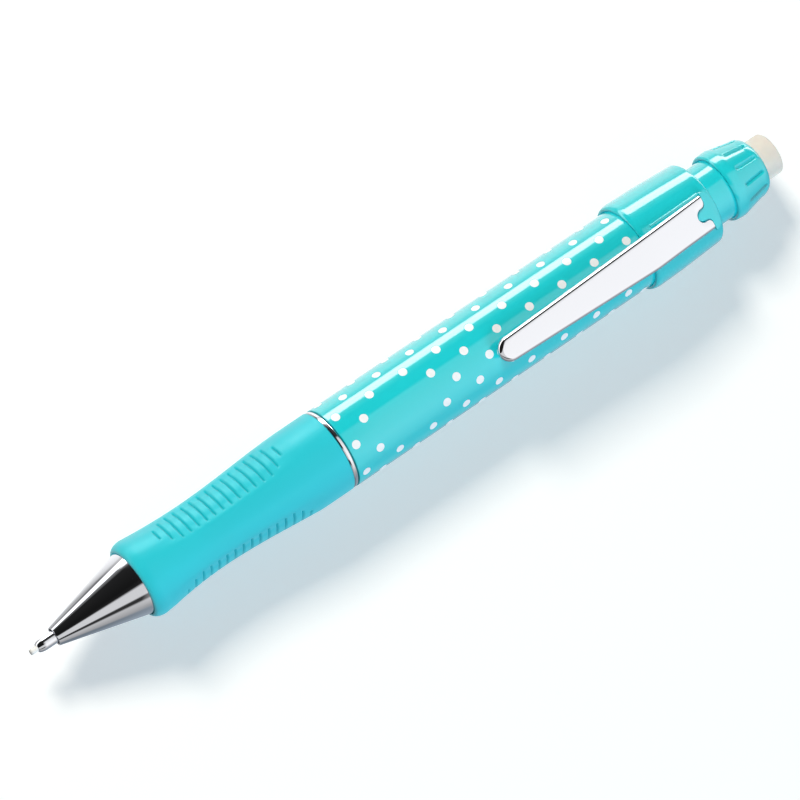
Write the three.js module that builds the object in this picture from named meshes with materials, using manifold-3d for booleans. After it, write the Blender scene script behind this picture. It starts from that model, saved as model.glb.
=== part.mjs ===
// A push-button fabric pencil with a twist-out eraser, as a three.js scene graph.
// Millimetres, +Z up. The pencil lies along +X, tip at -X, with its clip on top.
// Every piece is modelled from its own front face and then placed at its station,
// which is counted along the pencil from the end of the lead.

import * as THREE from 'three';
import { mergeVertices } from 'three/addons/utils/BufferGeometryUtils.js';
import Module from 'manifold-3d';

const wasm = await Module();
wasm.setup();

// Fits
const RUNNING_PLAY = 0.1; // radial play of a piece that slides or turns in another
const PUSHED_PLAY = 0.05; // radial play of a piece that is pushed home and stays
const SEAM_GAP = 0.1; // gap between end faces that meet on the outside
const SEAT_GAP = 0.3; // end play between pieces that meet inside

// Facets round the axis
const OUTER_SIDES = 36; // pieces that are seen
const INNER_SIDES = 24; // pieces inside
const LEAD_SIDES = 12; // the lead and the rubber that holds it

// Lead
const LEAD_RADIUS = 0.45;
const LEAD_LENGTH = 60;
const LEAD_SHOWING = 1.15; // lead in front of the tip sleeve
const LEAD_CHAMFER = 0.08;

// Tip sleeve
const SLEEVE_LIP = 0.07; // wall at its front edge
const SLEEVE_WALL = 0.5;
const SLEEVE_TAPER = 1.5; // length of the curved taper behind the front edge
const SLEEVE_SHOWING = 3.07; // sleeve in front of the nose cone
const SLEEVE_FOOT_LENGTH = 3.65;
const SLEEVE_FOOT_CATCH = 0.2; // how far the foot stands out past the cone's mouth
const SLEEVE_POCKET_WALL = 0.4;

// Rubber lead retainer in the sleeve's foot
const RETAINER_LENGTH = 2.5;
const RETAINER_PLAY = 0.02;

// Nose cone
const MOUTH_GAP = 0.3; // ring gap round the sleeve at the cone's mouth
const MOUTH_WALL = 0.2;
const MOUTH_DEPTH = 1.65; // length of the mouth's bore
const CONE_LENGTH = 14;
const CONE_OVERHANG = 0.55; // cone base past the grip core
const CONE_LAND = 0.8; // cylinder at the base, set into the grip
const SPIGOT_LENGTH = 7;
const SPIGOT_STEP = 0.4; // spigot past the mechanism housing

// Chuck and clutch ring
const PRESS_TRAVEL = 3.5;
const CLUTCH_SHARE = 0.25; // part of the press that the clutch ring follows
const CHUCK_WALL = 1.3; // jaw thickness at the head
const CHUCK_STEM_WALL = 0.75;
const CHUCK_HEAD_LENGTH = 1.7;
const CHUCK_TAPER_LENGTH = 1.6;
const CHUCK_NOSE_CHAMFER = 0.4;
const CHUCK_END_PLAY = 0.38; // chuck to sleeve at full press
const CHUCK_SLIT_WIDTH = 0.3;
const CHUCK_JAWS = 3;
const CHUCK_GRIP_DEPTH = 4; // chuck inside its holder
const CHUCK_RELIEF = 0.25; // wider bore behind the jaws
const HEAD_PLAY = 0.15; // chuck head to the clutch ring's cone
const CLUTCH_WALL = 0.6;
const CLUTCH_LENGTH = 2.8;
const CLUTCH_OFFSET = 1.8; // clutch ring behind the chuck's front
const CLUTCH_END_PLAY = 0.4; // clutch ring to the housing's nose

// Spring, its housing, and the chuck holder inside it
const HOUSING_FLOOR = 1.2;
const HOUSING_WALL = 0.5;
const HOUSING_SKIRT = 2.5; // housing behind the holder's flange
const SPRING_WIRE_RADIUS = 0.28;
const SPRING_COILS = 11;
const SPRING_LENGTH = 13.2;
const SPRING_PLAY = 0.17; // spring to the holder inside it
const SPRING_ROOM = 0.62; // spring to the housing round it
const HOLDER_WALL = 0.45;
const HOLDER_FLANGE_LENGTH = 2.3;
const HOLDER_TAIL_LENGTH = 4.5;

// Lead tube
const TUBE_BORE = 1.95;
const TUBE_WALL = 0.45;

// Grip core
const CORE_WALL = 0.5;
const CORE_NECK_PLAY = 0.5; // core to the lead tube passing through
const CORE_NECK_LENGTH = 2.7;
const CORE_RING_STEP = 0.5; // seat of the trim ring past the core
const CORE_TAIL_STEP = 0.4; // tail in the barrel past that seat
const CORE_TAIL_LENGTH = 11.3;
const CORE_TAIL_WALL = 0.9;

// Rubber grip
const GRIP_LENGTH = 35.6;
const GRIP_LIP_WALL = 1; // rubber outside the cone's base, at the front lip's crest
const GRIP_LIP_ROUND = 1.8; // length of the front lip's rounding
const GRIP_LIP_DROP = 0.9; // height of the front lip's rounding
const GRIP_WAIST_WALL = 1.06;
const GRIP_WAIST_PLACE = 11.9; // waist behind the grip's front
const GRIP_REAR_PLACE = 32; // full radius is reached here
const PAD_COUNT = 3;
const PAD_ANGLE = 60; // first pad's centre, degrees from the clip
const PAD_HALF_WIDTH = 40; // degrees, where the scoop ends
const PAD_DEPTH = 0.38;
const PAD_START = 3.6; // scoop behind the grip's front
const PAD_LENGTH = 26.2;
const GROOVE_COUNT = 16;
const GROOVE_PITCH = 1.463;
const GROOVE_START = 5.85; // first groove behind the grip's front
const GROOVE_WIDTH = 0.42;
const GROOVE_DEPTH = 0.35;
const GROOVE_HALF_ANGLE = 29.5;
const GROOVE_END_SHORTENING = [0.42, 0.8]; // first and second groove at each end of a pad

// Trim ring and barrel
const RING_WIDTH = 0.76;
const RING_REVEAL = 0.07; // ring's crest below the barrel
const RING_CROWN = 0.08;
const BARREL_WALL = 1;
const BARREL_SHOWING = 56.45; // barrel in front of the collar
const BARREL_NECK_ROOM = 0.55; // least room between the barrel and the push sleeve

// Clip collar
const COLLAR_LENGTH = 13.6;
const COLLAR_END_WALL = 3.3;
const COLLAR_FRONT_WALL = 0.26;
const COLLAR_CREST_WALL = 0.74;
const COLLAR_REAR_WALL = 0.25;
const COLLAR_SHOULDER = 1.3; // length of the front rounding
const COLLAR_REAR_ROUND = 0.55;

// Seat for the clip on the collar
const SEAT_FRONT = 2.2; // seat behind the collar's front
const SEAT_REAR = 0.8; // seat ahead of the collar's rear
const SEAT_MARGIN = 0.32; // seat beside the clip
const SEAT_BLOCK_RISE = 0.45; // block behind the clip, above the seat
const SEAT_CORNER = 1.2;
const SEAT_PLAY = 0.15; // clip to the lug and the block

// Clip
const CLIP_LENGTH = 41;
const CLIP_INSET = 2.2; // clip's rear ahead of the collar's rear
const CLIP_THICKNESS = 0.45;
const CLIP_HALF_WIDTH = 2.88;
const CLIP_END_HALF_WIDTH = 1.98;
const CLIP_RAMP = 11.7; // length over which it rises from its seat
const CLIP_RISE = 1.5;
const CLIP_REAR_GAP = 0.2; // plate above the seat, at the rear
const CLIP_SKIRT = 1.3; // depth of the side skirts along the barrel
const CLIP_REAR_SKIRT = 0.5; // depth of the side skirts at the rear
const CLIP_EDGE_ROUND = 0.35;
const CLIP_END_ROUND = 2.2; // length of the rounded free end
const CLIP_NOTCH_HALF_WIDTH = 1.1;
const CLIP_NOTCH_DEPTH = 2.1;
const CLIP_TAB_CORNER = 0.75; // rounding of the tabs' inner corners
const CLIP_LIP_INSET = 1.4; // hooked lips beside the axis
const CLIP_LIP_WIDTH = 1;
const CLIP_LIP_DEPTH = 0.85; // lips below the seat
const CLIP_LIP_SETBACK = 0.17;
const CLIP_PIP_RADIUS = 0.8; // pressed pip under the free end
const CLIP_PIP_PLACE = 5;

// Push sleeve, the neck that carries the eraser unit
const NECK_WALL = 0.65;
const NECK_LENGTH = 31.5;
const NECK_INSERT = 2.6; // neck inside the knob
const NECK_BEAD = 0.14;
const NECK_BEAD_WIDTH = 0.6;
const NECK_BEAD_PLACE = 0.9; // bead behind the knob's front
const NECK_GROOVE_DEPTH = 0.35;
const PLUG_FLANGE = 1;
const PLUG_DEPTH = 4;
const PLUG_TAIL_LENGTH = 6.4;
const PLUG_CUP_DEPTH = 2.5;
const PLUG_CUP_WALL = 1;

// Eraser drive
const ERASER_RADIUS = 3.47;
const ERASER_LENGTH = 21.1;
const ERASER_SHOWING = 3.45;
const ERASER_CHAMFER = 0.15;
const ERASER_OUT = 11.4; // how far it can be wound out
const ERASER_IN = 2.7; // how far it can be wound in
const SCREW_LEAD = 8; // eraser travel for one turn of the knob
const CUP_WALL = 0.33;
const CUP_FLOOR = 1.2;
const CUP_LENGTH = 5.8;
const LUG_LENGTH = 1.2;
const LUG_WIDTH = 1;
const LUG_REACH = 0.22; // lug past the guide
const GUIDE_WALL = 0.35;
const GUIDE_SLOT_PLAY = 0.2;
const GUIDE_END_PLAY = 0.4;
const HELIX_PLAY = 0.2; // lug to the groove's sides

// Knob
const KNOB_LENGTH = 7.4;
const KNOB_STOP_GAP = 0.5; // knob to collar at full press
const KNOB_RIM_WALL = 0.42;
const KNOB_BELLY_WALL = 0.7;
const KNOB_BELLY_PLACE = 1.8;
const KNOB_TAPER = 0.85; // radius lost from belly to crown
const KNOB_CROWN_LENGTH = 1.65;
const KNOB_CROWN_WALL = 1.4;
const KNOB_MOUTH_PLAY = 0.11; // knob to eraser
const KNOB_MOUTH_LIP = 0.5;
const KNOB_GROOVE_COUNT = 12;
const KNOB_GROOVE_START = 2.3;
const KNOB_GROOVE_LENGTH = 4;
const KNOB_GROOVE_WIDTH = 0.7;
const KNOB_GROOVE_DEPTH = 0.35;
const KNOB_GROOVE_TURN = 4.5; // degrees from the clip side to the first groove

// Radii, worked outward from the lead
const leadBore = LEAD_RADIUS + PUSHED_PLAY;
const sleeveRadius = leadBore + SLEEVE_WALL;
const mouthBore = sleeveRadius + MOUTH_GAP;
const mouthRadius = mouthBore + MOUTH_WALL;
const footRadius = mouthBore + SLEEVE_FOOT_CATCH;
const footBore = footRadius + RUNNING_PLAY;
const chuckHeadRadius = leadBore + CHUCK_WALL;
const chuckStemRadius = leadBore + CHUCK_STEM_WALL;
const clutchRadius = chuckHeadRadius + CLUTCH_WALL;
const clutchBore = clutchRadius + RUNNING_PLAY;
const stemBore = chuckStemRadius + HEAD_PLAY;
const holderNoseRadius = chuckStemRadius + PUSHED_PLAY + HOLDER_WALL;
const springRadius = holderNoseRadius + SPRING_PLAY + SPRING_WIRE_RADIUS;
const housingBore = springRadius + SPRING_WIRE_RADIUS + SPRING_ROOM;
const housingRadius = housingBore + HOUSING_WALL;
const tubeRadius = TUBE_BORE + TUBE_WALL;
const spigotRadius = housingRadius + SPIGOT_STEP;
const coreBore = spigotRadius + RUNNING_PLAY;
const coreRadius = coreBore + CORE_WALL;
const coneRadius = coreRadius + CONE_OVERHANG;
const gripBore = coreRadius + RUNNING_PLAY;
const ringSeatRadius = coreRadius + CORE_RING_STEP;

// Radii, worked outward from the eraser
const cupBore = ERASER_RADIUS + PUSHED_PLAY;
const cupRadius = cupBore + CUP_WALL;
const guideBore = cupRadius + RUNNING_PLAY;
const guideRadius = guideBore + GUIDE_WALL;
const neckBore = guideRadius + RUNNING_PLAY;
const neckRadius = neckBore + NECK_WALL;
const lugRadius = neckBore + LUG_REACH;
const knobBore = neckRadius + RUNNING_PLAY;

// The barrel clears both the grip core's tail and the push sleeve
const barrelBore = Math.max(ringSeatRadius + CORE_TAIL_STEP + RUNNING_PLAY, neckRadius + BARREL_NECK_ROOM);
const barrelRadius = barrelBore + BARREL_WALL;
const coreTailRadius = barrelBore - RUNNING_PLAY;
const collarBore = barrelRadius + RUNNING_PLAY;
const collarRearRadius = collarBore + COLLAR_REAR_WALL;

// Stations, counted from the end of the lead
const sleeveFront = LEAD_SHOWING;
const coneFront = sleeveFront + SLEEVE_SHOWING;
const footFront = coneFront + MOUTH_DEPTH + SEAM_GAP;
const footRear = footFront + SLEEVE_FOOT_LENGTH;
const gripFront = coneFront + CONE_LENGTH;
const spigotRear = gripFront + CONE_LAND + SPIGOT_LENGTH;
const chuckFront = footRear + CHUCK_END_PLAY + PRESS_TRAVEL;
const clutchFront = chuckFront + CLUTCH_OFFSET;
const clutchStop = clutchFront - PRESS_TRAVEL * CLUTCH_SHARE - PUSHED_PLAY;
const housingFront = clutchFront + CLUTCH_LENGTH + CLUTCH_END_PLAY;
const housingFloor = spigotRear + SEAT_GAP;
const housingSeat = housingFloor + HOUSING_FLOOR;
const springFront = housingSeat + SEAT_GAP;
const holderFront = housingSeat + SEAT_GAP + PRESS_TRAVEL;
const holderFlange = springFront + SPRING_LENGTH + SEAT_GAP;
const holderFlangeRear = holderFlange + HOLDER_FLANGE_LENGTH;
const tubeFront = holderFlangeRear + SEAT_GAP;
const housingRear = holderFlangeRear + HOUSING_SKIRT;
const coreFront = gripFront + CONE_LAND + SEAM_GAP;
const gripRear = gripFront + GRIP_LENGTH;
const ringFront = gripRear + SEAM_GAP;
const barrelFront = ringFront + RING_WIDTH + SEAM_GAP;
const collarFront = barrelFront + BARREL_SHOWING;
const collarRear = collarFront + COLLAR_LENGTH;
const barrelRear = collarRear - COLLAR_END_WALL - SEAM_GAP;
const clipRear = collarRear - CLIP_INSET;
const clipFront = clipRear - CLIP_LENGTH;
const knobFront = collarRear + PRESS_TRAVEL + KNOB_STOP_GAP;
const knobRear = knobFront + KNOB_LENGTH;
const neckRear = knobFront + NECK_INSERT;
const neckFront = neckRear - NECK_LENGTH;
const plugFlange = neckFront - SEAM_GAP - PLUG_FLANGE;
const tubeRear = plugFlange - SEAT_GAP;
const guideFront = neckFront + PLUG_DEPTH + GUIDE_END_PLAY;
const guideRear = knobRear - KNOB_CROWN_WALL - SEAM_GAP;
const eraserRear = knobRear + ERASER_SHOWING;
const eraserFront = eraserRear - ERASER_LENGTH;
const cupFront = eraserFront - CUP_FLOOR - PUSHED_PLAY;
const lugPlace = cupFront + LUG_LENGTH / 2;

// Heights above the axis
const seatHeight = collarRearRadius;
const clipPlate = seatHeight + CLIP_REAR_GAP;

function degrees(angle) {
  return THREE.MathUtils.degToRad(angle);
}

// Place at a station along the axis, a radius out, at an angle from the clip side.
function place(x, radius, angle) {
  return [x, -radius * Math.sin(angle), radius * Math.cos(angle)];
}

// Points of an elliptical arc in a profile of [station, radius] pairs.
function arc(x, radius, alongX, alongRadius, from, to, steps) {
  const points = [];
  for (let i = 0; i <= steps; i += 1) {
    const angle = degrees(from + ((to - from) * i) / steps);
    points.push([x + alongX * Math.cos(angle), radius + alongRadius * Math.sin(angle)]);
  }
  return points;
}

// One closed skin with shared corners and without empty triangles.
function weld(geometry) {
  const bare = geometry.clone();
  bare.deleteAttribute('normal');
  bare.deleteAttribute('uv');
  const merged = mergeVertices(bare, 1e-5);
  const index = merged.index.array;
  const kept = [];
  for (let i = 0; i < index.length; i += 3) {
    const [a, b, c] = [index[i], index[i + 1], index[i + 2]];
    if (a !== b && b !== c && c !== a) kept.push(a, b, c);
  }
  merged.setIndex(kept);
  merged.computeVertexNormals();
  return merged;
}

// A profile that goes back along the outside and forward along the inside, turned round the axis.
function turned(profile, sides) {
  const outline = profile.map(([x, radius]) => new THREE.Vector2(radius, x));
  if (profile[0][1] > 0) outline.push(outline[0].clone());
  const geometry = new THREE.LatheGeometry(outline, sides, Math.PI / sides);
  geometry.rotateZ(-Math.PI / 2);
  return weld(geometry);
}

// Six times the volume inside a set of triangles, negative where they face inward.
function signedVolume(position, index) {
  const corner = (i) => new THREE.Vector3().fromArray(position, index[i] * 3);
  let total = 0;
  for (let i = 0; i < index.length; i += 3) {
    total += corner(i).dot(corner(i + 1).cross(corner(i + 2)));
  }
  return total;
}

// A skin over rings of points. It is closed by flat ends, or joins its last ring to its first.
function skin(rings, endless = false) {
  const count = rings[0].length;
  const position = rings.flat(2);
  const index = [];
  const spans = endless ? rings.length : rings.length - 1;
  for (let i = 0; i < spans; i += 1) {
    const here = i * count;
    const next = ((i + 1) % rings.length) * count;
    for (let j = 0; j < count; j += 1) {
      const k = (j + 1) % count;
      index.push(here + j, next + k, here + k);
      index.push(here + j, next + j, next + k);
    }
  }
  if (!endless) {
    const last = (rings.length - 1) * count;
    for (let j = 1; j < count - 1; j += 1) {
      index.push(0, j, j + 1);
      index.push(last, last + j + 1, last + j);
    }
  }
  if (signedVolume(position, index) < 0) index.reverse();
  const geometry = new THREE.BufferGeometry();
  geometry.setAttribute('position', new THREE.Float32BufferAttribute(position, 3));
  geometry.setIndex(index);
  return weld(geometry);
}

function toSolid(geometry) {
  const welded = weld(geometry);
  const vertProperties = new Float32Array(welded.attributes.position.array);
  const triVerts = new Uint32Array(welded.index.array);
  return new wasm.Manifold(new wasm.Mesh({ numProp: 3, vertProperties, triVerts }));
}

function toGeometry(solid) {
  const mesh = solid.getMesh();
  const geometry = new THREE.BufferGeometry();
  geometry.setAttribute('position', new THREE.BufferAttribute(mesh.vertProperties, 3));
  geometry.setIndex(new THREE.BufferAttribute(mesh.triVerts, 1));
  geometry.computeVertexNormals();
  return geometry;
}

function cut(geometry, tools) {
  return toGeometry(tools.reduce((solid, tool) => solid.subtract(toSolid(tool)), toSolid(geometry)));
}

function join(geometry, additions) {
  return toGeometry(additions.reduce((solid, extra) => solid.add(toSolid(extra)), toSolid(geometry)));
}

// A block between two corners.
function block(low, high) {
  const size = high.map((value, i) => value - low[i]);
  const geometry = new THREE.BoxGeometry(...size);
  geometry.translate(...low.map((value, i) => value + size[i] / 2));
  return geometry;
}

// A plan outline on XY, raised from one height to another.
function raised(shape, low, high, curveSegments) {
  const geometry = new THREE.ExtrudeGeometry(shape, {
    depth: high - low,
    bevelEnabled: false,
    curveSegments,
  });
  geometry.translate(0, 0, low);
  return geometry;
}

// Radius of an outline of [station, radius] pairs at a station.
function radiusAt(outline, x) {
  const after = outline.findIndex(([station]) => station >= x);
  if (after <= 0) return outline[0][1];
  const [x0, r0] = outline[after - 1];
  const [x1, r1] = outline[after];
  return r0 + ((r1 - r0) * (x - x0)) / (x1 - x0);
}

function makeLead() {
  const outline = [
    [0, 0],
    [0, LEAD_RADIUS - LEAD_CHAMFER],
    [LEAD_CHAMFER, LEAD_RADIUS],
    [LEAD_LENGTH, LEAD_RADIUS],
    [LEAD_LENGTH, 0],
  ];
  return turned(outline, LEAD_SIDES);
}

// Drawn metal sleeve: a fine mouth, a curved taper, and a wider foot with a pocket for the rubber.
function makeTipSleeve() {
  const tip = leadBore + SLEEVE_LIP;
  const foot = footFront - sleeveFront;
  const rear = footRear - sleeveFront;
  const pocket = footRadius - SLEEVE_POCKET_WALL;
  const pocketFloor = rear - RETAINER_LENGTH - SEAT_GAP;
  return turned(
    [
      ...arc(SLEEVE_TAPER, tip, SLEEVE_TAPER, sleeveRadius - tip, 180, 90, 5),
      [foot, sleeveRadius],
      [foot, footRadius],
      [rear, footRadius],
      [rear, pocket],
      [pocketFloor, pocket],
      [pocketFloor, leadBore],
      [0, leadBore],
    ],
    INNER_SIDES,
  );
}

function makeLeadRetainer() {
  const radius = footRadius - SLEEVE_POCKET_WALL - PUSHED_PLAY;
  const bore = LEAD_RADIUS + RETAINER_PLAY;
  return turned([[0, bore], [0, radius], [RETAINER_LENGTH, radius], [RETAINER_LENGTH, bore]], LEAD_SIDES);
}

// Turned cone with a stepped bore: mouth, sleeve foot, chuck and clutch ring.
function makeNoseCone() {
  const landRear = CONE_LENGTH + CONE_LAND;
  const rear = landRear + SPIGOT_LENGTH;
  const footEnd = footRear - coneFront + SEAM_GAP;
  const stop = clutchStop - coneFront;
  return turned(
    [
      [0, mouthRadius],
      [CONE_LENGTH, coneRadius],
      [landRear, coneRadius],
      [landRear, spigotRadius],
      [rear, spigotRadius],
      [rear, clutchBore],
      [stop, clutchBore],
      [stop, chuckHeadRadius + HEAD_PLAY],
      [footEnd, chuckHeadRadius + HEAD_PLAY],
      [footEnd, footBore],
      [MOUTH_DEPTH, footBore],
      [MOUTH_DEPTH, mouthBore],
      [0, mouthBore],
    ],
    OUTER_SIDES,
  );
}

// Ring that closes the jaws: its cone runs parallel to the chuck's.
function makeClutchRing() {
  const taperStart = CHUCK_HEAD_LENGTH - CLUTCH_OFFSET;
  const taperEnd = taperStart + CHUCK_TAPER_LENGTH;
  const fall = (chuckHeadRadius - chuckStemRadius) / CHUCK_TAPER_LENGTH;
  const mouth = chuckHeadRadius + fall * taperStart + HEAD_PLAY;
  return turned(
    [
      [0, mouth],
      [0, clutchRadius],
      [CLUTCH_LENGTH, clutchRadius],
      [CLUTCH_LENGTH, stemBore],
      [taperEnd, stemBore],
    ],
    INNER_SIDES,
  );
}

// Brass collet chuck, split into jaws that share one ring at the rear.
function makeChuck() {
  const taperEnd = CHUCK_HEAD_LENGTH + CHUCK_TAPER_LENGTH;
  const rear = holderFront + CHUCK_GRIP_DEPTH - chuckFront;
  const slitEnd = holderFront - chuckFront - CLUTCH_OFFSET;
  const relief = leadBore + CHUCK_RELIEF;
  const body = turned(
    [
      [0, leadBore],
      [0, chuckHeadRadius - CHUCK_NOSE_CHAMFER],
      [CHUCK_NOSE_CHAMFER, chuckHeadRadius],
      [CHUCK_HEAD_LENGTH, chuckHeadRadius],
      [taperEnd, chuckStemRadius],
      [rear, chuckStemRadius],
      [rear, relief],
      [taperEnd, relief],
      [taperEnd - CHUCK_RELIEF, leadBore],
    ],
    INNER_SIDES,
  );
  const slits = [];
  for (let i = 0; i < CHUCK_JAWS; i += 1) {
    const slit = block(
      [-SEAT_GAP, -CHUCK_SLIT_WIDTH / 2, 0],
      [slitEnd, CHUCK_SLIT_WIDTH / 2, clutchRadius],
    );
    slits.push(slit.rotateX((i * 2 * Math.PI) / CHUCK_JAWS));
  }
  return cut(body, slits);
}

// Housing whose nose stops the clutch ring and whose floor carries the spring.
function makeMechanismHousing() {
  const floor = housingFloor - housingFront;
  const seat = housingSeat - housingFront;
  const rear = housingRear - housingFront;
  return turned(
    [
      [0, stemBore],
      [0, clutchRadius],
      [floor, clutchRadius],
      [floor, housingRadius],
      [rear, housingRadius],
      [rear, housingBore],
      [seat, housingBore],
      [seat, stemBore],
    ],
    INNER_SIDES,
  );
}

// Compression spring: one unbroken wire with 8 steps to a coil and 5 sides.
function makeChuckSpring() {
  const stepsPerCoil = 8;
  const wireSides = 5;
  const steps = SPRING_COILS * stepsPerCoil;
  const run = SPRING_LENGTH - 2 * SPRING_WIRE_RADIUS;
  const rings = [];
  for (let i = 0; i <= steps; i += 1) {
    const angle = (i * 2 * Math.PI) / stepsPerCoil;
    const x = SPRING_WIRE_RADIUS + (run * i) / steps;
    const ring = [];
    for (let j = 0; j < wireSides; j += 1) {
      const side = (j * 2 * Math.PI) / wireSides;
      const radius = springRadius + SPRING_WIRE_RADIUS * Math.cos(side);
      ring.push(place(x - SPRING_WIRE_RADIUS * Math.sin(side), radius, angle));
    }
    rings.push(ring);
  }
  const coilGap = run / SPRING_COILS - 2 * SPRING_WIRE_RADIUS;
  console.log('spring: least gap between coils', coilGap.toFixed(2), 'mm');
  return skin(rings);
}

// Holder that joins the chuck to the lead tube, with a flange for the spring.
function makeChuckHolder() {
  const seat = CHUCK_GRIP_DEPTH + SEAM_GAP;
  const flange = holderFlange - holderFront;
  const flangeRear = holderFlangeRear - holderFront;
  const rear = flangeRear + HOLDER_TAIL_LENGTH;
  const tail = TUBE_BORE - PUSHED_PLAY;
  const passage = leadBore + PUSHED_PLAY;
  return turned(
    [
      [0, chuckStemRadius + PUSHED_PLAY],
      [0, holderNoseRadius],
      [flange, holderNoseRadius],
      [flange, housingBore - RUNNING_PLAY],
      [flangeRear, housingBore - RUNNING_PLAY],
      [flangeRear, tail],
      [rear, tail],
      [rear, tail - HOLDER_WALL],
      [flangeRear, passage],
      [seat, passage],
      [seat, chuckStemRadius + PUSHED_PLAY],
    ],
    INNER_SIDES,
  );
}

function makeLeadTube() {
  const length = tubeRear - tubeFront;
  return turned([[0, TUBE_BORE], [0, tubeRadius], [length, tubeRadius], [length, TUBE_BORE]], INNER_SIDES);
}

// Stepped plastic core under the grip. Its tail fits the barrel and its neck guides the lead tube.
function makeGripCore() {
  const spigot = spigotRear - coreFront + SEAM_GAP;
  const shoulder = housingRear - coreFront + SEAT_GAP;
  const neckEnd = shoulder + CORE_NECK_LENGTH;
  const ringSeat = ringFront - coreFront;
  const tail = barrelFront - coreFront;
  const rear = tail + CORE_TAIL_LENGTH;
  const tailBore = coreTailRadius - CORE_TAIL_WALL;
  const neckHole = tubeRadius + CORE_NECK_PLAY;
  return turned(
    [
      [0, coreBore],
      [0, coreRadius - PUSHED_PLAY],
      [PUSHED_PLAY, coreRadius],
      [ringSeat, coreRadius],
      [ringSeat, ringSeatRadius],
      [tail, ringSeatRadius],
      [tail, coreTailRadius],
      [rear, coreTailRadius],
      [rear, tailBore],
      [neckEnd, neckHole + CORE_RING_STEP],
      [neckEnd, neckHole],
      [shoulder, neckHole],
      [shoulder, housingRadius + RUNNING_PLAY],
      [spigot, housingRadius + RUNNING_PLAY],
      [spigot, coreBore],
    ],
    OUTER_SIDES,
  );
}

// Radius of the grip before its pads are scooped: a round lip, a waist and a long rise.
function gripOutline(x) {
  const lip = coneRadius + RUNNING_PLAY + GRIP_LIP_WALL;
  const waist = gripBore + GRIP_WAIST_WALL;
  if (x < GRIP_LIP_ROUND) {
    const along = 1 - x / GRIP_LIP_ROUND;
    return lip - GRIP_LIP_DROP * (1 - Math.sqrt(1 - along * along));
  }
  if (x < GRIP_WAIST_PLACE) {
    const left = (GRIP_WAIST_PLACE - x) / (GRIP_WAIST_PLACE - GRIP_LIP_ROUND);
    return waist + (lip - waist) * left * left;
  }
  const share = Math.min(1, (x - GRIP_WAIST_PLACE) / (GRIP_REAR_PLACE - GRIP_WAIST_PLACE));
  return waist + ((barrelRadius - waist) * (1 - Math.cos(Math.PI * share))) / 2;
}

function padCentres() {
  return Array.from({ length: PAD_COUNT }, (_, i) => degrees(PAD_ANGLE + (i * 360) / PAD_COUNT));
}

// Depth of the finger scoops at a station and an angle.
function padDepth(x, angle) {
  const along = (x - PAD_START) / PAD_LENGTH;
  if (along <= 0 || along >= 1) return 0;
  const reach = degrees(PAD_HALF_WIDTH);
  const scoop = padCentres().map((centre) => {
    const turn = Math.atan2(Math.sin(angle - centre), Math.cos(angle - centre));
    return Math.abs(turn) < reach ? (1 + Math.cos((Math.PI * turn) / reach)) / 2 : 0;
  });
  return PAD_DEPTH * Math.pow(Math.sin(Math.PI * along), 0.8) * Math.max(...scoop);
}

function gripSurface(x, angle) {
  return gripOutline(x) - padDepth(x, angle);
}

// One cross groove of a pad, which follows the scoop and runs out at both ends.
function padGroove(x, centre, halfAngle) {
  const steps = 6;
  const rings = [];
  for (let i = 0; i <= steps; i += 1) {
    const share = (2 * i) / steps - 1;
    const angle = centre + halfAngle * share;
    const depth = Math.abs(share) < 1 ? GROOVE_DEPTH : 0;
    const floor = gripSurface(x, angle) - depth;
    const roof = gripSurface(x, angle) + 1;
    const front = x - GROOVE_WIDTH / 2;
    const rear = x + GROOVE_WIDTH / 2;
    rings.push([
      place(front, floor, angle),
      place(rear, floor, angle),
      place(rear, roof, angle),
      place(front, roof, angle),
    ]);
  }
  return skin(rings);
}

// Soft rubber sleeve with three finger pads, each crossed by fine grooves.
function makeRubberGrip() {
  const lipPoints = 5;
  const spacing = 2;
  const stations = [];
  for (let i = 0; i < lipPoints; i += 1) {
    stations.push(GRIP_LIP_ROUND * (1 - Math.cos((Math.PI / 2) * (i / lipPoints))));
  }
  const runs = Math.round((GRIP_LENGTH - GRIP_LIP_ROUND) / spacing);
  for (let i = 0; i <= runs; i += 1) {
    stations.push(GRIP_LIP_ROUND + ((GRIP_LENGTH - GRIP_LIP_ROUND) * i) / runs);
  }
  const angles = Array.from({ length: OUTER_SIDES }, (_, j) => ((j + 0.5) * 2 * Math.PI) / OUTER_SIDES);
  const circle = (x, radius) => angles.map((angle) => place(x, radius, angle));
  const coneSeat = CONE_LAND + SEAM_GAP / 2;
  const rings = stations.map((x) => angles.map((angle) => place(x, gripSurface(x, angle), angle)));
  rings.push(
    circle(GRIP_LENGTH, gripBore),
    circle(coneSeat, gripBore),
    circle(coneSeat, coneRadius + RUNNING_PLAY),
    circle(0, coneRadius + RUNNING_PLAY),
  );
  const grooves = [];
  for (const centre of padCentres()) {
    for (let i = 0; i < GROOVE_COUNT; i += 1) {
      const fromEnd = Math.min(i, GROOVE_COUNT - 1 - i);
      const share = GROOVE_END_SHORTENING[fromEnd] ?? 1;
      const x = GROOVE_START + i * GROOVE_PITCH;
      grooves.push(padGroove(x, centre, degrees(GROOVE_HALF_ANGLE) * share));
    }
  }
  return cut(skin(rings, true), grooves);
}

// Thin bright ring with a softly crowned edge.
function makeTrimRing() {
  const bore = ringSeatRadius + RUNNING_PLAY;
  const crest = barrelRadius - RING_REVEAL;
  return turned(
    [
      [0, bore],
      [0, crest - RING_CROWN],
      [RING_WIDTH / 4, crest],
      [(RING_WIDTH * 3) / 4, crest],
      [RING_WIDTH, crest - RING_CROWN],
      [RING_WIDTH, bore],
    ],
    OUTER_SIDES,
  );
}

function makeBarrel() {
  const length = barrelRear - barrelFront;
  return turned(
    [
      [0, barrelBore],
      [0, barrelRadius - PUSHED_PLAY],
      [PUSHED_PLAY, barrelRadius],
      [length, barrelRadius],
      [length, barrelBore],
    ],
    OUTER_SIDES,
  );
}

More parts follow.
